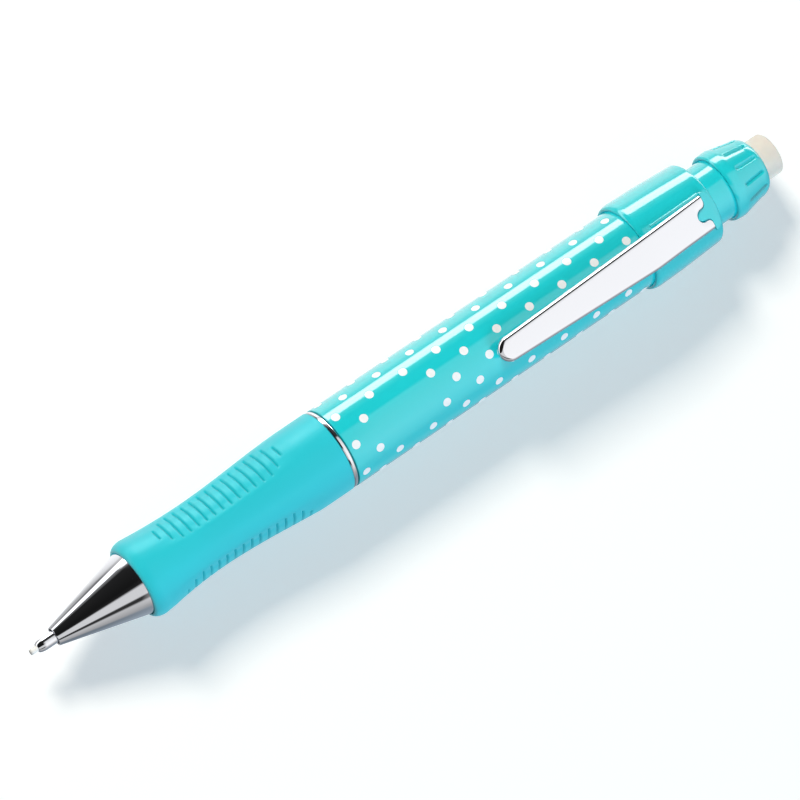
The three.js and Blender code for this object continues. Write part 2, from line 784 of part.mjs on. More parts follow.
// Half width of the clip at a distance ahead of its rear.
function clipHalfWidth(distance) {
  const straight = CLIP_RAMP;
  const roundStart = CLIP_LENGTH - CLIP_END_ROUND;
  if (distance <= straight) return CLIP_HALF_WIDTH;
  const taper = Math.min(1, (distance - straight) / (roundStart - straight));
  const width = CLIP_HALF_WIDTH + (CLIP_END_HALF_WIDTH - CLIP_HALF_WIDTH) * taper;
  const into = Math.max(0, (distance - roundStart) / CLIP_END_ROUND);
  return width * Math.sqrt(Math.max(0, 1 - into * into));
}

// How far the clip has risen off its seat at a distance ahead of its rear.
function clipRise(distance) {
  return CLIP_RISE * Math.min(1, distance / CLIP_RAMP);
}

function clipSkirt(distance) {
  return CLIP_REAR_SKIRT + (CLIP_SKIRT - CLIP_REAR_SKIRT) * Math.min(1, distance / CLIP_RAMP);
}

// Plan outline of the slot between the clip's two rear tabs, or of the lug that fills it.
// It flares at the rear, round the corners of the tabs.
function notchOutline(rear, halfWidth, depth, corner) {
  const shape = new THREE.Shape();
  const middle = rear - depth + halfWidth;
  const flare = halfWidth + corner;
  shape.moveTo(rear + CLIP_INSET / 2, -flare);
  shape.lineTo(rear + CLIP_INSET / 2, flare);
  shape.lineTo(rear, flare);
  shape.absarc(rear - corner, flare, corner, 0, -Math.PI / 2, true);
  shape.absarc(middle, 0, halfWidth, Math.PI / 2, (3 * Math.PI) / 2, false);
  shape.absarc(rear - corner, -flare, corner, Math.PI / 2, 0, true);
  return shape;
}

// Flat-topped seat that stands proud of the collar, with a raised block and lug behind the clip.
function clipSeat() {
  const halfWidth = CLIP_HALF_WIDTH + SEAT_MARGIN;
  const front = SEAT_FRONT;
  const rear = COLLAR_LENGTH - SEAT_REAR;
  const clipEnd = clipRear - collarFront;
  const plan = (start) => {
    const shape = new THREE.Shape();
    shape.moveTo(start, -halfWidth);
    shape.lineTo(rear - SEAT_CORNER, -halfWidth);
    shape.absarc(rear - SEAT_CORNER, SEAT_CORNER - halfWidth, SEAT_CORNER, -Math.PI / 2, 0, false);
    shape.absarc(rear - SEAT_CORNER, halfWidth - SEAT_CORNER, SEAT_CORNER, 0, Math.PI / 2, false);
    shape.lineTo(start, halfWidth);
    return shape;
  };
  const root = barrelRadius - BARREL_WALL;
  const blockTop = seatHeight + SEAT_BLOCK_RISE;
  const notch = notchOutline(
    clipEnd + SEAT_PLAY,
    CLIP_NOTCH_HALF_WIDTH - SEAT_PLAY,
    CLIP_NOTCH_DEPTH,
    CLIP_TAB_CORNER + SEAT_PLAY,
  );
  return join(raised(plan(front), root, seatHeight, 4), [
    raised(plan(clipEnd + SEAT_PLAY), root, blockTop, 4),
    raised(notch, root, blockTop, 6),
  ]);
}

// Pockets in the seat for the clip's hooked lips.
function lipPockets() {
  const rear = clipRear - collarFront - CLIP_LIP_SETBACK + SEAT_PLAY;
  const front = rear - CLIP_THICKNESS - 2 * SEAT_PLAY;
  const low = seatHeight - CLIP_LIP_DEPTH - SEAT_PLAY;
  const high = seatHeight + SEAT_BLOCK_RISE + SEAT_GAP;
  const inner = CLIP_LIP_INSET - SEAT_PLAY;
  const outer = CLIP_LIP_INSET + CLIP_LIP_WIDTH + SEAT_PLAY;
  return [
    block([front, inner, low], [rear, outer, high]),
    block([front, -outer, low], [rear, -inner, high]),
  ];
}

// Moulded collar over the barrel's rear: a round shoulder, a slight taper and the seat of the clip.
function makeClipCollar() {
  const crest = collarBore + COLLAR_CREST_WALL;
  const edge = collarBore + COLLAR_FRONT_WALL;
  const floor = COLLAR_LENGTH - COLLAR_END_WALL;
  const shell = turned(
    [
      [0, 0],
      ...arc(COLLAR_SHOULDER, edge, COLLAR_SHOULDER, crest - edge, 180, 90, 4),
      ...arc(COLLAR_LENGTH - COLLAR_REAR_ROUND, collarRearRadius - COLLAR_REAR_ROUND,
        COLLAR_REAR_ROUND, COLLAR_REAR_ROUND, 90, 0, 3),
      [COLLAR_LENGTH, 0],
    ],
    OUTER_SIDES,
  );
  const bore = turned(
    [
      [-1, 0],
      [-1, collarBore],
      [floor, collarBore],
      [floor, neckRadius + RUNNING_PLAY],
      [COLLAR_LENGTH + 1, neckRadius + RUNNING_PLAY],
      [COLLAR_LENGTH + 1, 0],
    ],
    OUTER_SIDES,
  );
  return cut(join(shell, [clipSeat()]), [bore, ...lipPockets()]);
}

// Folded sheet clip: a tapering plate with side skirts and a rounded free end.
// Its rear is slotted into two tabs, each with a lip hooked into the collar.
function makeClip() {
  const ends = [0, CLIP_RAMP];
  const taperSteps = 4;
  const roundSteps = 6;
  const roundStart = CLIP_LENGTH - CLIP_END_ROUND;
  for (let i = 1; i <= taperSteps; i += 1) {
    ends.push(CLIP_RAMP + ((roundStart - CLIP_RAMP) * i) / taperSteps);
  }
  for (let i = 1; i <= roundSteps; i += 1) {
    ends.push(roundStart + CLIP_END_ROUND * Math.sin((i * 80 * Math.PI) / 180 / roundSteps));
  }
  const outside = ends.map((distance) => {
    const x = CLIP_LENGTH - distance;
    const half = clipHalfWidth(distance);
    const top = clipPlate + CLIP_THICKNESS + clipRise(distance);
    const low = clipPlate + clipRise(distance) - clipSkirt(distance) + CLIP_THICKNESS;
    const round = Math.min(CLIP_EDGE_ROUND, half / 2);
    const mid = round * (1 - Math.SQRT1_2);
    return [
      [x, -half, low],
      [x, half, low],
      [x, half, top - round],
      [x, half - mid, top - mid],
      [x, half - round, top],
      [x, round - half, top],
      [x, mid - half, top - mid],
      [x, -half, top - round],
    ];
  });
  const inside = ends.slice(0, -3).map((distance, i) => {
    const rear = i === 0 ? 1 : 0;
    const x = CLIP_LENGTH - distance + rear;
    const half = clipHalfWidth(distance) - CLIP_THICKNESS;
    const top = clipPlate + clipRise(distance);
    const low = top - CLIP_SKIRT - 1;
    return [[x, -half, low], [x, half, low], [x, half, top], [x, -half, top]];
  });
  const plate = cut(skin(outside), [skin(inside)]);
  const notch = notchOutline(
    CLIP_LENGTH,
    CLIP_NOTCH_HALF_WIDTH,
    CLIP_NOTCH_DEPTH,
    CLIP_TAB_CORNER,
  );
  const slot = raised(notch, seatHeight, clipPlate + CLIP_RISE + 1, 6);
  const lipRear = CLIP_LENGTH - CLIP_LIP_SETBACK;
  const lipFront = lipRear - CLIP_THICKNESS;
  const lipLow = seatHeight - CLIP_LIP_DEPTH;
  const lipHigh = clipPlate + CLIP_THICKNESS / 2;
  const outer = CLIP_LIP_INSET + CLIP_LIP_WIDTH;
  const lips = [
    block([lipFront, CLIP_LIP_INSET, lipLow], [lipRear, outer, lipHigh]),
    block([lipFront, -outer, lipLow], [lipRear, -CLIP_LIP_INSET, lipHigh]),
  ];
  return join(cut(plate, [slot]), [...lips, clipPip()]);
}

// Pip pressed down under the free end, which presses cloth against the barrel.
function clipPip() {
  const low = barrelRadius + SEAT_GAP;
  const high = clipPlate + CLIP_RISE + CLIP_THICKNESS / 2;
  const dome = CLIP_PIP_RADIUS / 2;
  const pip = turned(
    [[low, 0], ...arc(low + dome, 0, -dome, CLIP_PIP_RADIUS, 0, 90, 3), [high, CLIP_PIP_RADIUS], [high, 0]],
    LEAD_SIDES,
  );
  pip.rotateY(-Math.PI / 2);
  pip.translate(CLIP_PIP_PLACE, 0, 0);
  return pip;
}

// Plug that closes the neck's front and pushes into the lead tube.
function makePushPlug() {
  const tail = TUBE_BORE - PUSHED_PLAY;
  const rear = PLUG_TAIL_LENGTH + PLUG_FLANGE + SEAM_GAP + PLUG_DEPTH;
  const flangeRear = PLUG_TAIL_LENGTH + PLUG_FLANGE;
  const cup = neckBore - PUSHED_PLAY - PLUG_CUP_WALL;
  return turned(
    [
      [0, 0],
      [0, tail - SEAM_GAP],
      [SEAM_GAP, tail],
      [PLUG_TAIL_LENGTH, tail],
      [PLUG_TAIL_LENGTH, neckRadius - SEAM_GAP],
      [flangeRear, neckRadius - SEAM_GAP],
      [flangeRear, neckBore - PUSHED_PLAY],
      [rear, neckBore - PUSHED_PLAY],
      [rear, cup],
      [rear - PLUG_CUP_DEPTH, cup],
      [rear - PLUG_CUP_DEPTH, 0],
    ],
    INNER_SIDES,
  );
}

// Right-handed groove inside the neck that the carrier's lug follows.
function helixGroove() {
  const stepsPerTurn = 24;
  const slope = SCREW_LEAD / (2 * Math.PI * neckBore);
  const halfWidth = LUG_LENGTH / 2 + (LUG_WIDTH / 2) * slope + HELIX_PLAY;
  const overrun = LUG_WIDTH / 2 / neckBore + HELIX_PLAY;
  const from = (-ERASER_IN / SCREW_LEAD) * 2 * Math.PI - overrun;
  const to = (ERASER_OUT / SCREW_LEAD) * 2 * Math.PI + overrun;
  const steps = Math.ceil(((to - from) / (2 * Math.PI)) * stepsPerTurn);
  const floor = neckBore + NECK_GROOVE_DEPTH;
  const roof = neckBore - RUNNING_PLAY;
  const rings = [];
  for (let i = 0; i <= steps; i += 1) {
    const turn = from + ((to - from) * i) / steps;
    const x = lugPlace - neckFront + (turn / (2 * Math.PI)) * SCREW_LEAD;
    rings.push([
      place(x - halfWidth, roof, turn),
      place(x + halfWidth, roof, turn),
      place(x + halfWidth, floor, turn),
      place(x - halfWidth, floor, turn),
    ]);
  }
  return skin(rings);
}

// Neck between collar and knob: a tube with a snap bead outside and the helical groove inside.
function makePushSleeve() {
  const beadFront = knobFront + NECK_BEAD_PLACE - neckFront;
  const beadRear = beadFront + NECK_BEAD_WIDTH;
  const tube = turned(
    [
      [0, neckBore],
      [0, neckRadius],
      [beadFront, neckRadius],
      [beadFront + NECK_BEAD_WIDTH / 4, neckRadius + NECK_BEAD],
      [beadRear - NECK_BEAD_WIDTH / 4, neckRadius + NECK_BEAD],
      [beadRear, neckRadius],
      [NECK_LENGTH, neckRadius],
      [NECK_LENGTH, neckBore],
    ],
    OUTER_SIDES,
  );
  return cut(tube, [helixGroove()]);
}

// Slotted tube fixed in the knob. It turns the carrier and lets it slide.
function makeEraserGuide() {
  const length = guideRear - guideFront;
  const lug = lugPlace - guideFront;
  const halfWidth = LUG_WIDTH / 2 + GUIDE_SLOT_PLAY;
  const front = lug - LUG_LENGTH / 2 - ERASER_IN - GUIDE_SLOT_PLAY;
  const rear = lug + LUG_LENGTH / 2 + ERASER_OUT + GUIDE_SLOT_PLAY;
  const wall = [[0, guideBore], [0, guideRadius], [length, guideRadius], [length, guideBore]];
  const tube = turned(wall, INNER_SIDES);
  return cut(tube, [block([front, -halfWidth, 0], [rear, halfWidth, neckRadius])]);
}

// Cup that holds the eraser, with a lug that reaches through the guide into the helix.
function makeEraserCarrier() {
  const cup = turned(
    [
      [0, 0],
      [0, cupRadius],
      [CUP_LENGTH, cupRadius],
      [CUP_LENGTH, cupBore],
      [CUP_FLOOR, cupBore],
      [CUP_FLOOR, 0],
    ],
    INNER_SIDES,
  );
  const lug = block([0, -LUG_WIDTH / 2, cupBore], [LUG_LENGTH, LUG_WIDTH / 2, lugRadius]);
  return join(cup, [lug]);
}

function makeEraser() {
  return turned(
    [
      [0, 0],
      [0, ERASER_RADIUS],
      [ERASER_LENGTH - ERASER_CHAMFER, ERASER_RADIUS],
      [ERASER_LENGTH, ERASER_RADIUS - ERASER_CHAMFER],
      [ERASER_LENGTH, 0],
    ],
    INNER_SIDES,
  );
}

// Outside of the knob: a rounded rim, a belly, a taper and a domed crown.
function knobOutline() {
  const rim = knobBore + KNOB_RIM_WALL;
  const belly = knobBore + KNOB_BELLY_WALL;
  const shoulder = belly - KNOB_TAPER;
  const mouth = ERASER_RADIUS + KNOB_MOUTH_PLAY + KNOB_MOUTH_LIP;
  const crown = KNOB_LENGTH - KNOB_CROWN_LENGTH;
  return [
    [0, rim],
    ...arc(KNOB_BELLY_PLACE, rim, KNOB_BELLY_PLACE, belly - rim, 150, 90, 2),
    ...arc(crown, mouth, KNOB_CROWN_LENGTH, shoulder - mouth, 90, 0, 5),
  ];
}

// Grip grooves along the knob, each with run-out ends.
function knobGrooves() {
  const outline = knobOutline();
  const shares = [0, 0.12, 0.5, 0.88, 1];
  const grooves = [];
  for (let i = 0; i < KNOB_GROOVE_COUNT; i += 1) {
    const angle = degrees(KNOB_GROOVE_TURN) + (i * 2 * Math.PI) / KNOB_GROOVE_COUNT;
    const rings = shares.map((share) => {
      const x = KNOB_GROOVE_START + KNOB_GROOVE_LENGTH * share;
      const surface = radiusAt(outline, x);
      const floor = surface - (share > 0 && share < 1 ? KNOB_GROOVE_DEPTH : 0);
      const turn = KNOB_GROOVE_WIDTH / 2 / surface;
      return [
        place(x, floor, angle - turn),
        place(x, floor, angle + turn),
        place(x, surface + 1, angle + turn),
        place(x, surface + 1, angle - turn),
      ];
    });
    grooves.push(skin(rings));
  }
  return grooves;
}

// Twist knob: snaps over the neck's bead, carries the guide, and leaves a mouth for the eraser.
function makeEraserKnob() {
  const beadFront = NECK_BEAD_PLACE - SEAM_GAP;
  const beadRear = NECK_BEAD_PLACE + NECK_BEAD_WIDTH + SEAM_GAP;
  const beadBore = knobBore + NECK_BEAD;
  const shoulder = NECK_INSERT + SEAM_GAP;
  const crownFloor = KNOB_LENGTH - KNOB_CROWN_WALL;
  const mouth = ERASER_RADIUS + KNOB_MOUTH_PLAY;
  const body = turned(
    [
      ...knobOutline(),
      [KNOB_LENGTH, mouth],
      [crownFloor, mouth],
      [crownFloor, guideRadius + PUSHED_PLAY],
      [shoulder, guideRadius + PUSHED_PLAY],
      [shoulder, knobBore],
      [beadRear, knobBore],
      [beadRear, beadBore],
      [beadFront, beadBore],
      [beadFront, knobBore],
      [0, knobBore],
    ],
    OUTER_SIDES,
  );
  return cut(body, knobGrooves());
}

// Finishes
const finishes = {
  lead: { color: '#e9ecf0', roughness: 0.6, metalness: 0 },
  chrome: { color: '#d6d8dc', roughness: 0.08, metalness: 1 },
  brass: { color: '#c9a24e', roughness: 0.25, metalness: 1 },
  steel: { color: '#b4b8be', roughness: 0.3, metalness: 1 },
  innerRubber: { color: '#2b2d30', roughness: 0.8, metalness: 0 },
  innerPlastic: { color: '#c9d2d6', roughness: 0.5, metalness: 0 },
  softRubber: { color: '#2fc2d2', roughness: 0.7, metalness: 0 },
  glossPlastic: { color: '#12bfc8', roughness: 0.15, metalness: 0 },
  eraser: { color: '#f3f0ea', roughness: 0.85, metalness: 0 },
};

function piece(name, geometry, finish, station) {
  const mesh = new THREE.Mesh(geometry, new THREE.MeshStandardMaterial(finishes[finish]));
  mesh.name = name;
  mesh.position.x = station;
  return mesh;
}

function assembly(...pieces) {
  const group = new THREE.Group();
  group.add(...pieces);
  return group;
}

const frontHalf = assembly(
  piece('tip_sleeve', makeTipSleeve(), 'chrome', sleeveFront),
  piece('lead_retainer', makeLeadRetainer(), 'innerRubber', footRear - RETAINER_LENGTH),
  piece('nose_cone', makeNoseCone(), 'chrome', coneFront),
  piece('grip_core', makeGripCore(), 'innerPlastic', coreFront),
  piece('rubber_grip', makeRubberGrip(), 'softRubber', gripFront),
  piece('mechanism_housing', makeMechanismHousing(), 'innerPlastic', housingFront),
);

const body = assembly(
  piece('trim_ring', makeTrimRing(), 'chrome', ringFront),
  piece('barrel', makeBarrel(), 'glossPlastic', barrelFront),
  piece('clip_collar', makeClipCollar(), 'glossPlastic', collarFront),
  piece('clip', makeClip(), 'chrome', clipFront),
);

const feed = assembly(
  piece('chuck', makeChuck(), 'brass', chuckFront),
  piece('clutch_ring', makeClutchRing(), 'brass', clutchFront),
  piece('chuck_spring', makeChuckSpring(), 'steel', springFront),
  piece('chuck_holder', makeChuckHolder(), 'innerPlastic', holderFront),
  piece('lead_tube', makeLeadTube(), 'innerPlastic', tubeFront),
);

const eraserUnit = assembly(
  piece('push_plug', makePushPlug(), 'innerPlastic', plugFlange - PLUG_TAIL_LENGTH),
  piece('push_sleeve', makePushSleeve(), 'glossPlastic', neckFront),
  piece('eraser_guide', makeEraserGuide(), 'innerPlastic', guideFront),
  piece('eraser_carrier', makeEraserCarrier(), 'innerPlastic', cupFront),
  piece('eraser', makeEraser(), 'eraser', eraserFront),
  piece('eraser_knob', makeEraserKnob(), 'glossPlastic', knobFront),
);

// The origin lies on the surface that the pencil rests on, under the middle of its length.
// The collar's lowest facet touches that surface.
const pencil = assembly(frontHalf, body, feed, piece('lead', makeLead(), 'lead', 0), eraserUnit);
const axisHeight = (collarBore + COLLAR_CREST_WALL) * Math.cos(Math.PI / OUTER_SIDES);
pencil.position.set(-eraserRear / 2, 0, axisHeight);

export default pencil;
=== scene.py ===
"""Looks of a push-button fabric pencil: smooth outer pieces, finishes, floor, lamps and camera.

Lengths are written in millimetres along the pencil, counted from the end of the lead,
and turned to metres in the part's frame where a mesh is made.
"""

import math

import bmesh
import bpy
from mathutils import Matrix, Vector


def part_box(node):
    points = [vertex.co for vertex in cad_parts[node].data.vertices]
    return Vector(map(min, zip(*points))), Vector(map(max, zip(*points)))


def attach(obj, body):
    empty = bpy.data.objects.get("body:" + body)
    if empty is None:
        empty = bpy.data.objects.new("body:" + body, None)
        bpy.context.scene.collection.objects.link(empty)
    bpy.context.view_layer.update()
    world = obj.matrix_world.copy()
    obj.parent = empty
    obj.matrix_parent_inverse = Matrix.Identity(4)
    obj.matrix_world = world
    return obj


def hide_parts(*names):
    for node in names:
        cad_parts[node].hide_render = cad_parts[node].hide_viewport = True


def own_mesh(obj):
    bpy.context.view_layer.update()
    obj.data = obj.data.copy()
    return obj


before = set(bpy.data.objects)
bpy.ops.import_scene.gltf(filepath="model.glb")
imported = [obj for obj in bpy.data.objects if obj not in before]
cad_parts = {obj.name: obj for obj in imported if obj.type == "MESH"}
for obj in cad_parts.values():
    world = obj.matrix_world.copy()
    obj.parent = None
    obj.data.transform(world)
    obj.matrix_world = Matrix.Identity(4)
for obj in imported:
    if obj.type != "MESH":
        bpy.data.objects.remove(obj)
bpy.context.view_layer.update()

bl_info = {
    "name": "Fabric pencil",
    "version": (1, 0, 0),
    "blender": (4, 5, 0),
    "location": "View3D > Sidebar > Pencil",
    "description": "Builds a mechanical fabric pencil with its finishes, floor and lamps",
    "category": "Add Mesh",
}

MM = 0.001
# Points nearer than this are one point, in metres.
SAME_POINT = 1e-7
LEAD_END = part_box("lead")[0][0]
AXIS_HEIGHT = (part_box("barrel")[0][2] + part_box("barrel")[1][2]) / 2

# The grip: where its rounded front ends, where it is thinnest, and its radius there.
GRIP_NOSE = 1.8
GRIP_WAIST = 11.9
WAIST_RADIUS = 5.74

# The clip: height of its seat above the axis, its gap to the seat and the thickness of its sheet.
CLIP_SEAT = 6.95
CLIP_GAP = 0.2
CLIP_SHEET = 0.45
# Distances ahead of the clip's rear edge: the bend, the start of the round tip, and the tip.
CLIP_BEND = 11.7
CLIP_ROUND = 38.8
CLIP_LENGTH = 41.0
# Half width up to the bend, radius of the folded edges and steps round them.
CLIP_HALF_WIDTH = 2.88
CLIP_FOLD = 0.7
FOLD_STEPS = 6
# The notch between the clip's prongs: depth of its straight part, half width, and the prongs' corners.
NOTCH_REACH = 1.0
NOTCH_HALF = 1.1
PRONG_CORNER = 0.75

# What the mirrored studio is painted with: the window's level, and the tints of its walls and shade.
WINDOW_LEVEL = 8.0
WHITE = (1.0, 1.0, 1.0)
SHADE = (0.8, 0.95, 1.1)

# Kinds of node that are used again and again.
VECTOR_MATH = "ShaderNodeVectorMath"
RANGE = "ShaderNodeMapRange"
SPLIT = "ShaderNodeSeparateXYZ"
JOIN = "ShaderNodeCombineXYZ"
NOISE = "ShaderNodeTexNoise"
MIX = "ShaderNodeMix"
BUMP = "ShaderNodeBump"


# --- sizes and colours a user would change ---


def length(name, description, default):
    """A length property in metres."""
    return bpy.props.FloatProperty(
        name=name, description=description, default=default, unit="LENGTH", subtype="DISTANCE")


class PencilSizes(bpy.types.PropertyGroup):
    """Sizes of the pencil's looks."""

    sides: bpy.props.IntProperty(
        name="Sides", description="Facets round a turned piece", default=144, min=24)
    edge: length("Edge rounding", "Radius on the edges of moulded and turned pieces", 0.00012)
    barrel_radius: length("Barrel radius", "Outside radius of the barrel", 0.0066)
    dot_diameter: length("Dot diameter", "Diameter of one printed dot", 0.00135)
    dot_pitch: length("Dot pitch", "Distance along the barrel between dots of one row", 0.00625)
    dot_rows: bpy.props.IntProperty(
        name="Dot rows", description="Rows of dots round the barrel", default=16, min=2)
    groove_depth: length("Pad groove depth", "Depth of the grooves across the finger pads", 0.00032)
    groove_width: length("Pad groove width", "Width of the grooves across the finger pads", 0.00052)
    flute_depth: length("Knob groove depth", "Depth of the grooves along the knob", 0.00038)


def colour(name, description, default):
    """A colour property that keeps an sRGB hex value."""
    return bpy.props.StringProperty(name=name, description=description, default=default)


class PencilColours(bpy.types.PropertyGroup):
    """Colours of the pencil, as sRGB hex values."""

    plastic: colour("Barrel plastic", "Gloss plastic of barrel, collar, neck and knob", "#1cc1cd")
    rubber: colour("Grip rubber", "Soft rubber of the grip", "#25b9ca")
    print_ink: colour("Dots", "Ink of the printed dots", "#e3e8ee")
    lead: colour("Lead", "Marking lead", "#e6e8ea")
    eraser: colour("Eraser", "Eraser vinyl", "#d2d0cb")
    chrome: colour("Chrome", "Chrome plating", "#dfe0e4")


def sizes():
    return bpy.context.scene.pencil_sizes


def colours():
    return bpy.context.scene.pencil_colours


# --- small helpers ---


def linear(code):
    """Linear RGBA of an sRGB hex value."""
    parts = [int(code[i:i + 2], 16) / 255 for i in (1, 3, 5)]
    return tuple(p / 12.92 if p <= 0.04045 else ((p + 0.055) / 1.055) ** 2.4 for p in parts) + (1.0,)


def add(tree, kind, inputs=(), **settings):
    """Adds one node with its settings, and with values or links on its inputs.

    A kind in capitals is the operation of a Math node. The inputs are a list from the first one on,
    or a dictionary by name or number. A node that is given as an input stands for its first output.
    """
    if kind.isupper():
        kind, settings["operation"] = "ShaderNodeMath", kind
    node = tree.nodes.new(kind)
    for key, value in settings.items():
        setattr(node, key, value)
    for key, value in inputs.items() if isinstance(inputs, dict) else enumerate(inputs):
        if isinstance(value, bpy.types.Node):
            value = value.outputs[0]
        if isinstance(value, bpy.types.NodeSocket):
            tree.links.new(value, node.inputs[key])
        else:
            node.inputs[key].default_value = value
    return node


def cleared_tree(owner):
    """The node tree of a new material or world, emptied."""
    owner.use_nodes = True
    owner.node_tree.nodes.clear()
    return owner.node_tree


def span(node):
    """Where a CAD node starts and ends, in millimetres from the end of the lead."""
    return [(corner[0] - LEAD_END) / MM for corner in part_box(node)]


def at(x, y, z):
    """A point at a station, y sideways and z above the axis, in millimetres."""
    return Vector((LEAD_END + x * MM, y * MM, AXIS_HEIGHT + z * MM))


def place(x, radius, angle):
    """A point at a station, a radius out, at an angle from the clip side towards -Y."""
    return at(x, -radius * math.sin(angle), radius * math.cos(angle))


def around(count):
    """Angles of a full turn in equal steps."""
    return [math.tau * j / count for j in range(count)]


def blend_share(value, low, high):
    """0 below low, 1 above high, and a smooth step between them."""
    share = min(1.0, max(0.0, (value - low) / (high - low)))
    return share * share * (3 - 2 * share)


def new_object(name, data):
    """A new object of the scene."""
    result = bpy.data.objects.new(name, data)
    bpy.context.scene.collection.objects.link(result)
    return result


def new_mesh(name, points, faces):
    """A new mesh of points and faces."""
    mesh = bpy.data.meshes.new(name)
    mesh.from_pydata(points, [], faces)
    return mesh


def finish_piece(name, points, faces, body, look, *replaced):
    """Makes a piece from points and faces."""
    return finish_mesh(name, new_mesh(name, points, faces), body, look, *replaced)


def clean(mesh, look, open_sheet=False):
    """Merges a mesh's doubles, turns its faces outwards, or up on an open sheet, and gives it its finish."""
    shell = bmesh.new()
    shell.from_mesh(mesh)
    bmesh.ops.remove_doubles(shell, verts=shell.verts, dist=SAME_POINT)
    if open_sheet:
        bmesh.ops.dissolve_degenerate(shell, edges=shell.edges, dist=SAME_POINT)
    bmesh.ops.recalc_face_normals(shell, faces=shell.faces)
    highest = max(shell.faces, key=lambda face: face.calc_center_median().z)
    if open_sheet and highest.normal.z < 0:
        bmesh.ops.reverse_faces(shell, faces=shell.faces)
    shell.to_mesh(mesh)
    shell.free()
    mesh.materials.clear()
    mesh.materials.append(finish(look))
    mesh.shade_smooth()


def finish_mesh(name, mesh, body, look, *replaced, sharp=35):
    """Cleans a closed mesh, marks its sharp edges and ties it to the frame as an object."""
    clean(mesh, look)
    mesh.set_sharp_from_angle(angle=math.radians(sharp))
    piece = new_object(name, mesh)
    tie(piece, body, look, *replaced)
    return piece


def tie(piece, body, look, *replaced):
    """Puts a finished piece under its body and hides the CAD nodes that it stands for."""
    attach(piece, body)
    if replaced:
        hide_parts(*replaced)


def ring_faces(rows, count, endless):
    """Quads between rows of points that each go once round the axis."""
    faces = []
    for i in range(rows if endless else rows - 1):
        here = i * count
        there = ((i + 1) % rows) * count
        for j in range(count):
            k = (j + 1) % count
            faces.append((here + j, here + k, there + k, there + j))
    return faces


def eased(profile, radius, steps=3):
    """The profile with its sharp corners rounded. On an open profile the first and last points stay."""
    least_turn, most_of_side = math.radians(20), 0.45
    closed = profile[0][1] > 0
    points = [Vector(p) for p in profile]
    count = len(points)
    result = []
    for i, corner in enumerate(points):
        if not closed and i in (0, count - 1):
            result.append(tuple(corner))
            continue
        before = points[i - 1] - corner
        after = points[(i + 1) % count] - corner
        turn = math.pi - before.angle(after)
        if turn < least_turn:
            result.append(tuple(corner))
            continue
        reach = min(radius * math.tan(turn / 2), most_of_side * min(before.length, after.length))
        start = corner + before.normalized() * reach
        end = corner + after.normalized() * reach
        for step in range(steps + 1):
            t = step / steps
            result.append(tuple(start * (1 - t) ** 2 + corner * 2 * t * (1 - t) + end * t * t))
    return result


def turned_points(profile, count):
    """Points of a profile of (station, radius), turned round the axis."""
    return [place(x, max(r, 0.0), angle) for x, r in profile for angle in around(count)]


def turned(name, profile, body, look, node, radius=None):
    """A piece turned round the axis from a profile of (station, radius), in place of a CAD node."""
    profile = eased(profile, sizes().edge / MM if radius is None else radius)
    count = sizes().sides
    faces = ring_faces(len(profile), count, profile[0][1] > 0)
    return finish_piece(name, turned_points(profile, count), faces, body, look, node)


def arc(x, r, along_x, along_r, start, end, steps):
    """Points of an elliptical arc in a (station, radius) profile, from one angle to another in degrees."""
    angles = [math.radians(start + (end - start) * i / steps) for i in range(steps + 1)]
    return [(x + along_x * math.cos(angle), r + along_r * math.sin(angle)) for angle in angles]


# --- finishes ---


def new_material(name):
    """A new material, its empty tree and the socket of each point's place on the piece."""
    material = bpy.data.materials.new(name)
    tree = cleared_tree(material)
    return material, tree, add(tree, "ShaderNodeTexCoord").outputs["Object"]


def surface(material, settings):
    """Gives a material a Principled surface, and gives the material back."""
    tree = material.node_tree
    add(tree, "ShaderNodeOutputMaterial", [add(tree, "ShaderNodeBsdfPrincipled", settings)])
    return material


def tones(code, dark, light=1.0):
    """The two colours that a Mix node blends: a darker and a lighter tone of a hex colour."""
    return {key: tuple(min(1.0, c * level) for c in linear(code)[:3]) + (1.0,)
            for key, level in ((6, dark), (7, light))}


def painted_groove_shade(tree, tone, shine):
    """Painted shade in a pressed groove: colour and shine fade towards its bottom, where the light goes in
    but hardly comes out.
    """
    groove = add(tree, "ShaderNodeAttribute", attribute_name="groove").outputs["Fac"]
    # Painted shade: towards the bottom of a groove the colour is multiplied darker and its red taken out.
    shaded = add(tree, MIX, {"Factor": groove, 6: tone, 7: (0.0, 0.88, 0.86, 1.0)},
                 data_type="RGBA", blend_type="MULTIPLY")
    # Painted shade too: the shine falls to 0.15 of its value at the bottom of a groove.
    return shaded.outputs[2], add(tree, RANGE, {"Value": groove, "To Min": shine, "To Max": 0.15 * shine})


def moulded_gloss_plastic():
    """ABS from a polished mould: an even colour, a sharp highlight and a very slight waviness."""
    material, tree, where = new_material("moulded_gloss_abs")
    # Flow of the melt: slow changes of tone, 12 mm across.
    flow = add(tree, NOISE, {"Vector": where, "Scale": 80.0, "Detail": 2.0})
    tone = add(tree, MIX, {"Factor": flow, **tones(colours().plastic, 0.97, 1.03)}, data_type="RGBA")
    # Orange-peel waviness of the mould, 1.5 mm across and far below what a finger feels.
    wave = add(tree, NOISE, {"Vector": where, "Scale": 650.0, "Detail": 1.0})
    # Painted shade in pressed grooves: a darker colour and less coat at the bottom of each groove.
    shaded, coat_with_painted_shade = painted_groove_shade(tree, tone.outputs[2], 0.8)
    return surface(material, {
        "Base Color": shaded, "IOR": 1.54, "Coat Weight": coat_with_painted_shade, "Coat Roughness": 0.04,
        "Roughness": add(tree, RANGE, {"Value": flow, "To Min": 0.05, "To Max": 0.09}),
        "Normal": add(tree, BUMP, {"Height": wave, "Strength": 0.05, "Distance": 0.00002}),
    })


